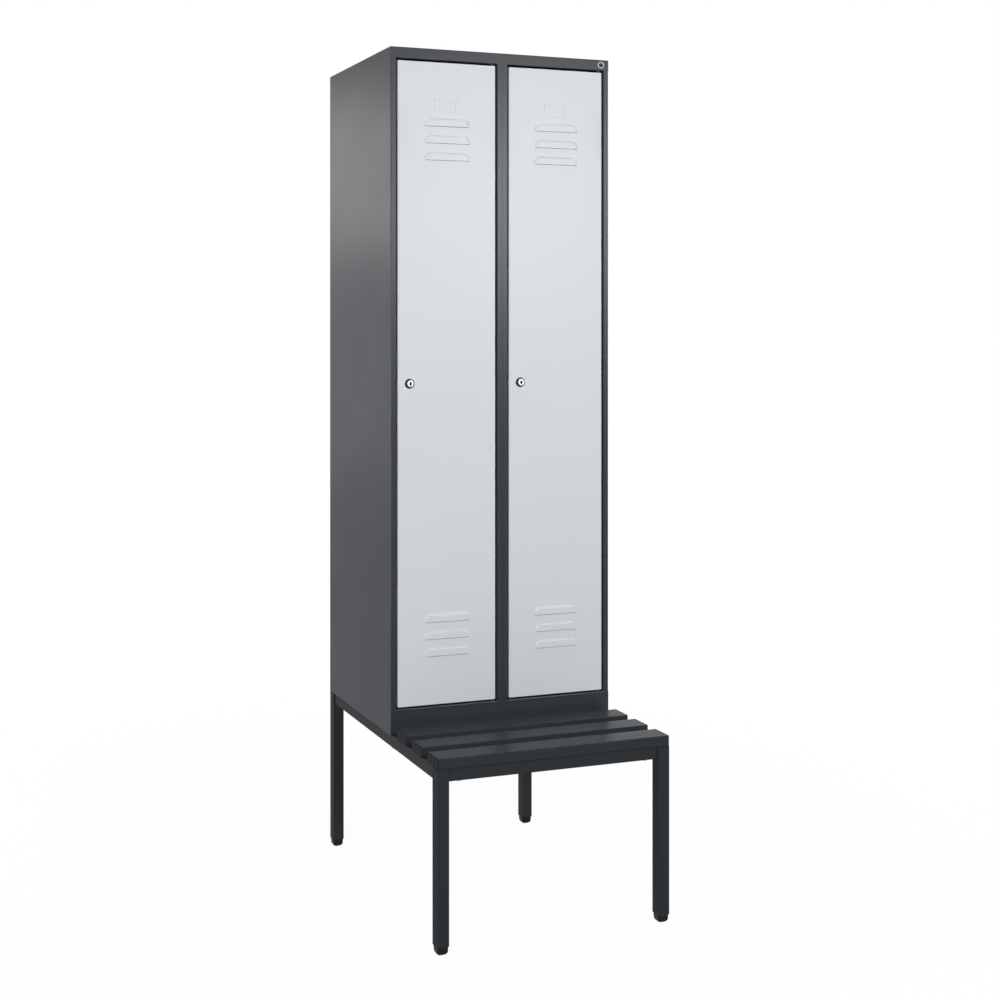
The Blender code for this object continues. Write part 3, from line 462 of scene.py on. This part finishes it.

# The middle upright is two folded sheets side by side. The shade in the groove between them is painted on as
# a fine black line without coat
GROOVE_SHADE_HALF_WIDTH = 0.0005
groove_shade_coat = Coat("centre_stile_coat", ANTHRACITE, COAT_ROUGHNESS,
                 **{"Specular IOR Level": 0.0, "Coat Roughness": CABINET_BLUR})
aside = groove_shade_coat.node("ShaderNodeSeparateXYZ", {}, {"Vector": groove_shade_coat.place}, "X")
aside = groove_shade_coat.node("ShaderNodeMath", {"operation": "ABSOLUTE"}, {0: aside})
groove_shade = groove_shade_coat.node("ShaderNodeMapRange", {}, {
    "Value": aside, "From Max": GROOVE_SHADE_HALF_WIDTH, "To Min": 1.0, "To Max": 0.0})
groove_shade_coat.feed("Base Color", groove_shade_coat.mix(groove_shade, ANTHRACITE, BLACK))
groove_shade_coat.feed("Coat Weight", (1 - groove_shade) * CABINET_SHINE)
groove_shade_coat.grain(groove_shade_coat.speckle(PEEL_SCALE, PEEL_DETAIL), PEEL_DEPTH)
coat_nodes(groove_shade_coat.material, "centre_stile")

# The joints between the upright and level parts of the front are filled with weld, ground flush
SIDE_STILE = 0.015
CENTRE_STILE = 0.030
BOTTOM_RAIL = 0.063
TOP_RAIL = 0.0285
SEAM_REACH = 0.0032
SEAM_DEPTH = 0.0012
FLUSH = 0.00003
SHEET_BEND = 0.002

cabinet_low, cabinet_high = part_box("back_panel")
face_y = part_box("centre_stile")[0].y
fills = []
for joint_z in (cabinet_low.z + BOTTOM_RAIL, cabinet_high.z - TOP_RAIL):
    for low_x, high_x in ((cabinet_low.x + SHEET_BEND, cabinet_low.x + SIDE_STILE - SHEET_BEND),
                          (SHEET_BEND - CENTRE_STILE / 2, CENTRE_STILE / 2 - SHEET_BEND),
                          (cabinet_high.x - SIDE_STILE + SHEET_BEND, cabinet_high.x - SHEET_BEND)):
        fill = add_block((low_x, face_y + FLUSH, joint_z - SEAM_REACH),
                         (high_x, face_y + SEAM_DEPTH, joint_z + SEAM_REACH))
        bpy.ops.object.mode_set(mode="EDIT")
        pick("FACE", lambda face, middle: face.normal.y > FACING)
        bpy.ops.mesh.inset(thickness=SEAM_DEPTH)
        bpy.ops.object.mode_set(mode="OBJECT")
        fills.append(fill)
finish_piece(join_pieces(fills), "front_seam_welds", "cabinet", "carcass_steel", anthracite)


# Each door is a pan of steel sheet, folded back twice along its edges. Three louvres are pressed
# out near its head and three near its foot, all open downwards. Above the upper ones two lanced
# guides hold a name card. The coat is light grey.

DOOR_DEPTH = 0.020
DOOR_LIP = 0.012
DOOR_SHEET = 0.001
DOOR_BEND = 0.002
DOOR_BEND_STEPS = 4
LOUVRE_ROWS = 3
LOUVRE_SPAN = 0.124
LOUVRE_RISE = 0.0198
LOUVRE_PROUD = 0.0034
LOUVRE_SLOPE = 0.0040
LOUVRE_END_SLOPE = 0.0060
LOUVRE_CORNER = 0.0150
LOUVRE_CORNER_STEPS = 7
LOUVRE_BOW = 0.4
UPPER_SLOT = 0.0006
LOWER_SLOT = 0.0016
LOUVRE_PITCH = 0.0422
LOUVRE_FIELD = 0.0108
UPPER_LOUVRE_DROP = 0.1593
LOWER_LOUVRE_RISE = 0.1215
PRESSED_EDGE = 0.0009
PRESSED_STEPS = 3
CARD_DROP = 0.0927
CARD_HEIGHT = 0.031
CARD_SPAN = 0.066
GUIDE_WIDTH = 0.010
GUIDE_PROUD = 0.0006
GUIDE_LIFT = 0.0010
GUIDE_SLOT = 0.0006
CARD_FIELD = 0.0012
CARD_PROUD = 0.0008
LOCK_HOLE_RADIUS = 0.0088
PIN_HOLE_RADIUS = 0.0032
HOLE_STEPS = 48
UPRIGHT = (0.0, 0.0, 0.0)
TO_FRONT = (math.radians(90), 0.0, 0.0)
DOOR_GREY = (0.700, 0.722, 0.739)
DOOR_SHINE = 0.28
DOOR_BLUR = 0.34

door_low, door_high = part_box("door_left")
door_low.y = face_y
door_high.y = face_y + DOOR_DEPTH
door_middle = (door_low + door_high) / 2
louvre_feet = [door_high.z - UPPER_LOUVRE_DROP - row * LOUVRE_PITCH for row in range(LOUVRE_ROWS)]
louvre_feet += [door_low.z + LOWER_LOUVRE_RISE + row * LOUVRE_PITCH for row in range(LOUVRE_ROWS)]
card_head = door_high.z - CARD_DROP
card_foot = card_head - CARD_HEIGHT


def at_louvre(z, low, high):
    """Whether a height lies in one of the louvres, between two heights above its foot."""
    return any(low <= z - foot <= high for foot in louvre_feet)


def on_face(face, middle):
    """Whether a face lies in the flat front of the door."""
    return face.normal.y < -FACING and abs(middle.y - face_y) < NEAR


leaf = add_block(door_low, door_high)
bpy.ops.object.mode_set(mode="EDIT")
pick("FACE", lambda face, middle: face.normal.y > FACING)
bpy.ops.mesh.inset(thickness=DOOR_LIP)
bpy.ops.mesh.delete(type="FACE")


def on_rim(vert):
    """Whether a corner is one of the pan's eight outer ones."""
    return all(min(abs(vert.co[axis] - door_low[axis]), abs(vert.co[axis] - door_high[axis])) < NEAR
               for axis in range(3))


pick("EDGE", lambda edge, middle: on_rim(edge.verts[0]) and on_rim(edge.verts[1]))
bpy.ops.mesh.bevel(offset=DOOR_BEND, segments=DOOR_BEND_STEPS)
lines = [foot + height for foot in louvre_feet for height in (-LOUVRE_FIELD, LOUVRE_RISE + LOUVRE_FIELD)]
for z in lines + [card_foot, card_head]:
    pick("FACE", on_face)
    bpy.ops.mesh.bisect(plane_co=(0.0, 0.0, z), plane_no=(0.0, 0.0, 1.0))
for sign in (-1, 1):
    pick("FACE", on_face)
    edge_x = door_middle.x + sign * (LOUVRE_SPAN / 2 + LOUVRE_FIELD)
    bpy.ops.mesh.bisect(plane_co=(edge_x, 0.0, 0.0), plane_no=(1.0, 0.0, 0.0))

# Louvres: a field is drawn in, its upper corners rounded, its middle raised and its foot opened
pick("FACE", lambda face, middle: on_face(face, middle) and abs(middle.x - door_middle.x) < LOUVRE_FIELD
     and at_louvre(middle.z, 0, LOUVRE_RISE))
bpy.ops.mesh.inset(thickness=LOUVRE_FIELD)
pick("VERT", lambda vert, middle: abs(middle.y - face_y) < NEAR
     and at_louvre(middle.z, LOUVRE_RISE - NEAR, LOUVRE_RISE + NEAR)
     and abs(abs(middle.x - door_middle.x) - LOUVRE_SPAN / 2) < NEAR)
bpy.ops.mesh.bevel(offset=LOUVRE_CORNER, segments=LOUVRE_CORNER_STEPS, profile=LOUVRE_BOW, affect="VERTICES",
                   clamp_overlap=False)
pick("FACE", lambda face, middle: on_face(face, middle) and abs(middle.x - door_middle.x) < LOUVRE_FIELD
     and at_louvre(middle.z, NEAR, LOUVRE_RISE - NEAR))
bpy.ops.mesh.inset(thickness=LOUVRE_SLOPE)
bpy.ops.transform.translate(value=(0.0, -LOUVRE_PROUD, 0.0))
narrower = (LOUVRE_SPAN / 2 - LOUVRE_END_SLOPE) / (LOUVRE_SPAN / 2 - LOUVRE_SLOPE)
bpy.ops.transform.resize(value=(narrower, 1.0, 1.0), center_override=door_middle)
pick("VERT", lambda vert, middle: middle.y < face_y - LOUVRE_PROUD / 2
     and at_louvre(middle.z, LOUVRE_SLOPE - NEAR, LOUVRE_SLOPE + NEAR))
bpy.ops.transform.translate(value=(0.0, 0.0, -LOUVRE_SLOPE))
pick("FACE", lambda face, middle: middle.y < face_y - NEAR and face.normal.z < -FACING)
bpy.ops.mesh.delete(type="FACE")
for at_head, slot in ((True, UPPER_SLOT), (False, LOWER_SLOT)):
    pick("VERT", lambda vert, middle: abs(middle.y - face_y) < NEAR and at_louvre(middle.z, -NEAR, NEAR)
         and (middle.z > door_middle.z) == at_head)
    bpy.ops.transform.translate(value=(0.0, 0.0, -slot))
pick("EDGE", lambda edge, middle: all(vert.co.y < face_y - LOUVRE_PROUD + NEAR for vert in edge.verts)
     and not at_louvre(middle.z, -NEAR, NEAR))
bpy.ops.mesh.bevel(offset=PRESSED_EDGE, segments=PRESSED_STEPS)

# Card holder: two strips raised from the face, lifted and open at the head, and a shallow field
for offset in (-CARD_SPAN / 2, GUIDE_WIDTH - CARD_SPAN / 2, CARD_SPAN / 2 - GUIDE_WIDTH, CARD_SPAN / 2):
    pick("FACE", lambda face, middle: on_face(face, middle) and card_foot < middle.z < card_head)
    bpy.ops.mesh.bisect(plane_co=(door_middle.x + offset, 0.0, 0.0), plane_no=(1.0, 0.0, 0.0))


def in_card(face, middle, inner, outer):
    """Whether a face lies in the card holder, between two distances from its middle."""
    return (on_face(face, middle) and card_foot < middle.z < card_head
            and inner <= abs(middle.x - door_middle.x) < outer)


pick("FACE", lambda face, middle: in_card(face, middle, CARD_SPAN / 2 - GUIDE_WIDTH, CARD_SPAN / 2))
bpy.ops.mesh.extrude_region_move(TRANSFORM_OT_translate={"value": (0.0, -GUIDE_PROUD, 0.0)})
pick("VERT", lambda vert, middle: middle.y < face_y - GUIDE_PROUD / 2 and abs(middle.z - card_head) < NEAR)
bpy.ops.transform.translate(value=(0.0, -GUIDE_LIFT, 0.0))
pick("FACE", lambda face, middle: face.normal.z > FACING and abs(middle.z - card_head) < NEAR
     and middle.y < face_y - NEAR)
bpy.ops.mesh.delete(type="FACE")
pick("VERT", lambda vert, middle: abs(middle.y - face_y) < NEAR and abs(middle.z - card_head) < NEAR
     and abs(middle.x - door_middle.x) < CARD_SPAN / 2 + NEAR)
bpy.ops.transform.translate(value=(0.0, 0.0, GUIDE_SLOT))
pick("FACE", lambda face, middle: in_card(face, middle, 0.0, GUIDE_WIDTH))
bpy.ops.mesh.inset(thickness=CARD_FIELD)
bpy.ops.transform.translate(value=(0.0, -CARD_PROUD, 0.0))
bpy.ops.object.mode_set(mode="OBJECT")
apply_modifier(leaf, "SOLIDIFY", thickness=DOOR_SHEET, offset=-1.0, use_even_offset=True)


def drill(piece, place, radius, length, turn):
    """A round hole through a piece about a place, upright or turned to the front."""
    bpy.ops.object.select_all(action="DESELECT")
    bpy.ops.mesh.primitive_cylinder_add(vertices=HOLE_STEPS, radius=radius, depth=length, location=place,
                                        rotation=turn)
    bit = bpy.context.object
    apply_modifier(piece, "BOOLEAN", object=bit, operation="DIFFERENCE", solver="EXACT")
    bpy.data.objects.remove(bit)


body_low, body_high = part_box("lock_body_left")
lock_axis = Vector(((body_low.x + body_high.x) / 2, face_y, (body_low.z + body_high.z) / 2))
drill(leaf, lock_axis, LOCK_HOLE_RADIUS, DOOR_DEPTH, TO_FRONT)
for pin in ("hinge_pin_left_top", "hinge_pin_left_bottom"):
    pin_low, pin_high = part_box(pin)
    drill(leaf, (pin_low + pin_high) / 2, PIN_HOLE_RADIUS, pin_high.z - pin_low.z, UPRIGHT)

light_grey = powder_coat("light_grey_powder_coat", DOOR_GREY, DOOR_SHINE, DOOR_BLUR)
right_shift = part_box("door_right")[0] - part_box("door_left")[0]
for door, piece in (("door_right", copy_piece(leaf, right_shift)), ("door_left", leaf)):
    finish_piece(piece, door + "_leaf", door, "door_steel", light_grey, door)


# Each lock has a black plastic rosette and barrel, and a chromed plug with a keyhole, which turns
# with the cam behind the door. A steel nut holds the barrel to the door.

ROSETTE_RADIUS = 0.0125
ROSETTE_HEIGHT = 0.0025
BARREL_RADIUS = 0.0085
BARREL_LENGTH = 0.020
PLUG_RADIUS = 0.0055
CAP_RADIUS = 0.0082
CAP_HEIGHT = 0.0048
LOCK_GAP = 0.0003
RING_WIDTH = 0.0008
RING_STEP = 0.0004
# How far each point of a rounded edge lies in from the rim and down from the head
ROSETTE_EDGE = ((0.0020, 0.0004), (0.0010, 0.0008), (0.0003, 0.0014), (0.0, 0.0020))
CAP_EDGE = ((0.0016, 0.0001), (0.0013, 0.0), (0.0007, 0.0001), (0.0003, 0.0003), (0.0001, 0.0006),
            (0.0, 0.0011))
KEYHOLE_WIDTH = 0.0076
KEYHOLE_HEIGHT = 0.0136
KEYHOLE_DEPTH = 0.0035
TURN_STEPS = 64
ROSETTE_BLACK = (0.008, 0.008, 0.009)
CHROME_GREY = (0.66, 0.67, 0.68)
KEYHOLE_SHADE_BLACK = (0.004, 0.004, 0.004)


def turned(centre, rings, capped):
    """A turned piece on an axis to the front: a ring, drawn out and resized from step to step."""
    radius, reach = rings[0]
    bpy.ops.object.select_all(action="DESELECT")
    bpy.ops.mesh.primitive_circle_add(vertices=TURN_STEPS, radius=radius, rotation=TO_FRONT,
                                      location=centre - Vector((0.0, reach, 0.0)))
    piece = bpy.context.object
    bpy.ops.object.transform_apply(location=True, rotation=True, scale=True)
    bpy.ops.object.mode_set(mode="EDIT")
    bpy.ops.mesh.select_mode(type="EDGE")
    bpy.ops.mesh.select_all(action="SELECT")
    if capped:
        bpy.ops.mesh.edge_face_add()
    for wide, far in rings[1:]:
        bpy.ops.mesh.extrude_edges_move(TRANSFORM_OT_translate={"value": (0.0, reach - far, 0.0)})
        bpy.ops.transform.resize(value=(wide / radius, 1.0, wide / radius),
                                 center_override=(centre.x, centre.y - far, centre.z))
        radius, reach = wide, far
    if capped:
        bpy.ops.mesh.edge_face_add()
    bpy.ops.mesh.select_all(action="SELECT")
    bpy.ops.mesh.remove_doubles(threshold=NEAR)
    bpy.ops.mesh.normals_make_consistent(inside=False)
    bpy.ops.object.mode_set(mode="OBJECT")
    return piece


black_plastic = Coat("rosette_plastic", ROSETTE_BLACK, roughness=0.30, **{"Specular IOR Level": 0.35})
black_plastic.gloss(black_plastic.speckle(scale=80.0), spread=0.05)
black_plastic.grain(black_plastic.speckle(scale=1500.0), depth=0.00001)
chrome = Coat("lock_chrome", CHROME_GREY, roughness=0.20, Metallic=1.0)
chrome.tint(chrome.speckle(scale=90.0), spread=0.02)
chrome.gloss(chrome.speckle(scale=250.0, detail=3.0), spread=0.04)
chrome.grain(chrome.speckle(scale=1400.0, stretch=(1.0, 1.0, 0.1)), depth=0.000004)
# The walls of the keyway are coloured near black, which is painted shade for the inside of the keyhole
keyhole_shade = Coat("keyhole_shade", KEYHOLE_SHADE_BLACK, roughness=0.6, **{"Specular IOR Level": 0.1})
keyhole_shade.tint(keyhole_shade.speckle(scale=800.0), spread=0.3)

bore = PLUG_RADIUS + LOCK_GAP
ring_radius = CAP_RADIUS + RING_WIDTH
rosette = turned(lock_axis, [
    (bore, ROSETTE_HEIGHT), (ring_radius, ROSETTE_HEIGHT),
    (ring_radius + RING_STEP, ROSETTE_HEIGHT - RING_STEP),
    *[(ROSETTE_RADIUS - inward, ROSETTE_HEIGHT - down) for inward, down in ROSETTE_EDGE],
    (ROSETTE_RADIUS, LOCK_GAP), (BARREL_RADIUS, LOCK_GAP), (BARREL_RADIUS, -BARREL_LENGTH),
    (bore, -BARREL_LENGTH), (bore, ROSETTE_HEIGHT)], capped=False)

cap_foot = ROSETTE_HEIGHT + LOCK_GAP
cap_top = cap_foot + CAP_HEIGHT
plug_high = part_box("lock_plug_left")[1]
plug = turned(lock_axis, [
    *[(CAP_RADIUS - inward, cap_top - down) for inward, down in CAP_EDGE],
    (CAP_RADIUS, cap_foot), (PLUG_RADIUS, cap_foot), (PLUG_RADIUS, face_y - plug_high.y)], capped=True)
bpy.ops.object.select_all(action="DESELECT")
bpy.ops.mesh.primitive_cylinder_add(vertices=4, radius=0.5, depth=2 * KEYHOLE_DEPTH, rotation=TO_FRONT,
                                    location=lock_axis - Vector((0.0, cap_top, 0.0)))
keyway = bpy.context.object
keyway.data.materials.append(keyhole_shade.material)
keyway.scale = (KEYHOLE_WIDTH, KEYHOLE_HEIGHT, 1.0)
bpy.ops.object.transform_apply(location=True, rotation=True, scale=True)
plug.data.materials.append(chrome.material)
apply_modifier(plug, "BOOLEAN", object=keyway, operation="DIFFERENCE", solver="EXACT",
               material_mode="TRANSFER")
bpy.data.objects.remove(keyway)
for side, shift in (("right", right_shift), ("left", None)):
    pair = [piece if shift is None else copy_piece(piece, shift) for piece in (rosette, plug)]
    finish_piece(pair[0], f"lock_{side}_rosette", "door_" + side, "black_plastic", black_plastic.material,
                 "lock_body_" + side)
    finish_piece(pair[1], f"lock_{side}_cap", "lock_" + side, "lock_chrome", None, "lock_plug_" + side)


# A small oval plate sits near the right end of the top rail. It is printed plastic, a pale rim
# around a dark field, and is glued on.

BADGE_FROM_EDGE = 0.0215
BADGE_DROP = 0.0138
BADGE_WIDTH = 0.0185
BADGE_HEIGHT = 0.0160
BADGE_THICKNESS = 0.0005
BADGE_RIM = 0.0022
BADGE_RECESS = 0.0001
RIM_GREY = (0.62, 0.63, 0.64)

rim_print = Coat("badge_rim", RIM_GREY, roughness=0.4, **{"Specular IOR Level": 0.2})
rim_print.tint(rim_print.speckle(scale=300.0), spread=0.05)
field_print = Coat("badge_field", ANTHRACITE, roughness=0.4, **{"Specular IOR Level": 0.1})
field_print.tint(field_print.speckle(scale=300.0), spread=0.05)
bpy.ops.object.select_all(action="DESELECT")
bpy.ops.mesh.primitive_cylinder_add(
    vertices=TURN_STEPS, radius=0.5, depth=BADGE_THICKNESS, rotation=TO_FRONT,
    location=(cabinet_high.x - BADGE_FROM_EDGE, face_y - BADGE_THICKNESS / 2, cabinet_high.z - BADGE_DROP))
badge = bpy.context.object
badge.scale = (BADGE_WIDTH, BADGE_HEIGHT, 1.0)
bpy.ops.object.transform_apply(location=True, rotation=True, scale=True)
badge.data.materials.append(rim_print.material)
badge.data.materials.append(field_print.material)
bpy.ops.object.mode_set(mode="EDIT")
pick("FACE", lambda face, middle: face.normal.y < -FACING)
bpy.ops.mesh.inset(thickness=BADGE_RIM)
bpy.ops.transform.translate(value=(0.0, BADGE_RECESS, 0.0))
badge.active_material_index = 1
bpy.ops.object.material_slot_assign()
bpy.ops.object.mode_set(mode="OBJECT")
finish_piece(badge, "rail_badge", "cabinet", "white_plastic", None)


# The bench has three slats of extruded plastic, rounded along their edges. Each is shut at its ends
# by a matt black cap and held from below by two screws.

SLAT_ROUND = 0.0016
SLAT_STEPS = 5
SLAT_FOOT_ROUND = 0.0015
SLAT_FOOT_STEPS = 3
CAP_LENGTH = 0.0028
CAP_GAP = 0.0003
CAP_ROUND = 0.0008
CAP_STEPS = 2
SCREW_HOLE_RADIUS = 0.0028
SLAT_GREY = (0.030, 0.0345, 0.0392)
CAP_BLACK = (0.024, 0.026, 0.028)
DRAWN = (0.03, 1.0, 1.0)
FINELY_DRAWN = (0.02, 1.0, 1.0)

slat_plastic = Coat("slat_plastic", SLAT_GREY, roughness=0.34, **{"Specular IOR Level": 0.075})
slat_plastic.tint(slat_plastic.speckle(scale=60.0, detail=3.0, stretch=DRAWN), spread=0.06)
slat_plastic.gloss(slat_plastic.speckle(scale=120.0, detail=3.0, stretch=DRAWN), spread=0.04)
slat_plastic.grain(slat_plastic.speckle(scale=900.0, stretch=FINELY_DRAWN), depth=0.00003)
cap_plastic = Coat("slat_cap_plastic", CAP_BLACK, roughness=0.5, **{"Specular IOR Level": 0.012})
cap_plastic.gloss(cap_plastic.speckle(scale=90.0), spread=0.05)
cap_plastic.grain(cap_plastic.speckle(scale=1100.0), depth=0.00004)


def extrusion(low, high, ends_round):
    """A bar along X with its long edges rounded, and one end eased: -1 the left, 1 the right, 0 none."""
    bar = add_block(low, high)
    bpy.ops.object.mode_set(mode="EDIT")
    middle_z = (low.z + high.z) / 2
    for at_head, width, steps in ((True, SLAT_ROUND, SLAT_STEPS), (False, SLAT_FOOT_ROUND, SLAT_FOOT_STEPS)):
        pick("EDGE", lambda edge, middle: runs_along(edge, 0) and (middle.z > middle_z) == at_head)
        bpy.ops.mesh.bevel(offset=width, segments=steps)
    if ends_round:
        pick("FACE", lambda face, middle: face.normal.x * ends_round > FACING)
        bpy.ops.mesh.region_to_loop()
        bpy.ops.mesh.bevel(offset=CAP_ROUND, segments=CAP_STEPS)
    bpy.ops.object.mode_set(mode="OBJECT")
    return bar


slat_low, slat_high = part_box("slat_front")
along = Vector((CAP_LENGTH, 0.0, 0.0))
slat = extrusion(slat_low + along, slat_high - along, 0)
for side in ("left", "right"):
    screw_low, screw_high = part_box("slat_screw_front_" + side)
    drill(slat, (screw_low + screw_high) / 2, SCREW_HOLE_RADIUS, screw_high.z - screw_low.z, UPRIGHT)
gap = Vector((CAP_GAP, 0.0, 0.0))
caps = join_pieces([extrusion(slat_low, Vector((slat_low.x, *slat_high.yz)) + along - gap, -1),
                    extrusion(Vector((slat_high.x, *slat_low.yz)) - along + gap, slat_high, 1)])
for row in ("middle", "rear", "front"):
    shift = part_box("slat_" + row)[0] - slat_low
    pair = [piece if row == "front" else copy_piece(piece, shift) for piece in (slat, caps)]
    finish_piece(pair[0], f"slat_{row}_plank", "cabinet", "slat_plastic", slat_plastic.material,
                 "slat_" + row)
    finish_piece(pair[1], f"slat_{row}_caps", "cabinet", "slat_plastic", cap_plastic.material)


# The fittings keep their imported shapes. Pins, cams, nuts, rails, hooks, screws and bolts are turned,
# bent or pressed from steel and zinc-plated, the pivots' bushes are moulded nylon, and the pads that
# the doors shut against are black rubber, glued on.

STEEL_FITTINGS = ("hinge_pin", "lock_cam", "lock_nut", "clothes_rail", "rail_hook", "slat_screw",
                  "cabinet_bolt")
ZINC_GREY = (0.60, 0.61, 0.62)
RUBBER_BLACK = (0.02, 0.02, 0.02)
NYLON_BLACK = (0.012, 0.012, 0.012)

zinc = Coat("zinc_plate", ZINC_GREY, roughness=0.33, Metallic=1.0)
zinc.tint(zinc.speckle(scale=30.0, detail=4.0), spread=0.10)
zinc.gloss(zinc.speckle(scale=120.0, detail=3.0), spread=0.08)
zinc.grain(zinc.speckle(scale=700.0), depth=0.00002)
rubber = Coat("buffer_rubber", RUBBER_BLACK, roughness=0.8, **{"Specular IOR Level": 0.2})
rubber.tint(rubber.speckle(scale=200.0), spread=0.2)
rubber.grain(rubber.speckle(scale=1200.0, detail=3.0), depth=0.0001)
nylon = Coat("bush_nylon", NYLON_BLACK, roughness=0.45, **{"Specular IOR Level": 0.3})
nylon.gloss(nylon.speckle(scale=150.0), spread=0.05)
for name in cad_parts:
    if name.startswith(STEEL_FITTINGS):
        coat_nodes(zinc.material, name)
    elif name.startswith("hinge_bush"):
        coat_nodes(nylon.material, name)
    elif name.startswith("door_buffer"):
        coat_nodes(rubber.material, name)
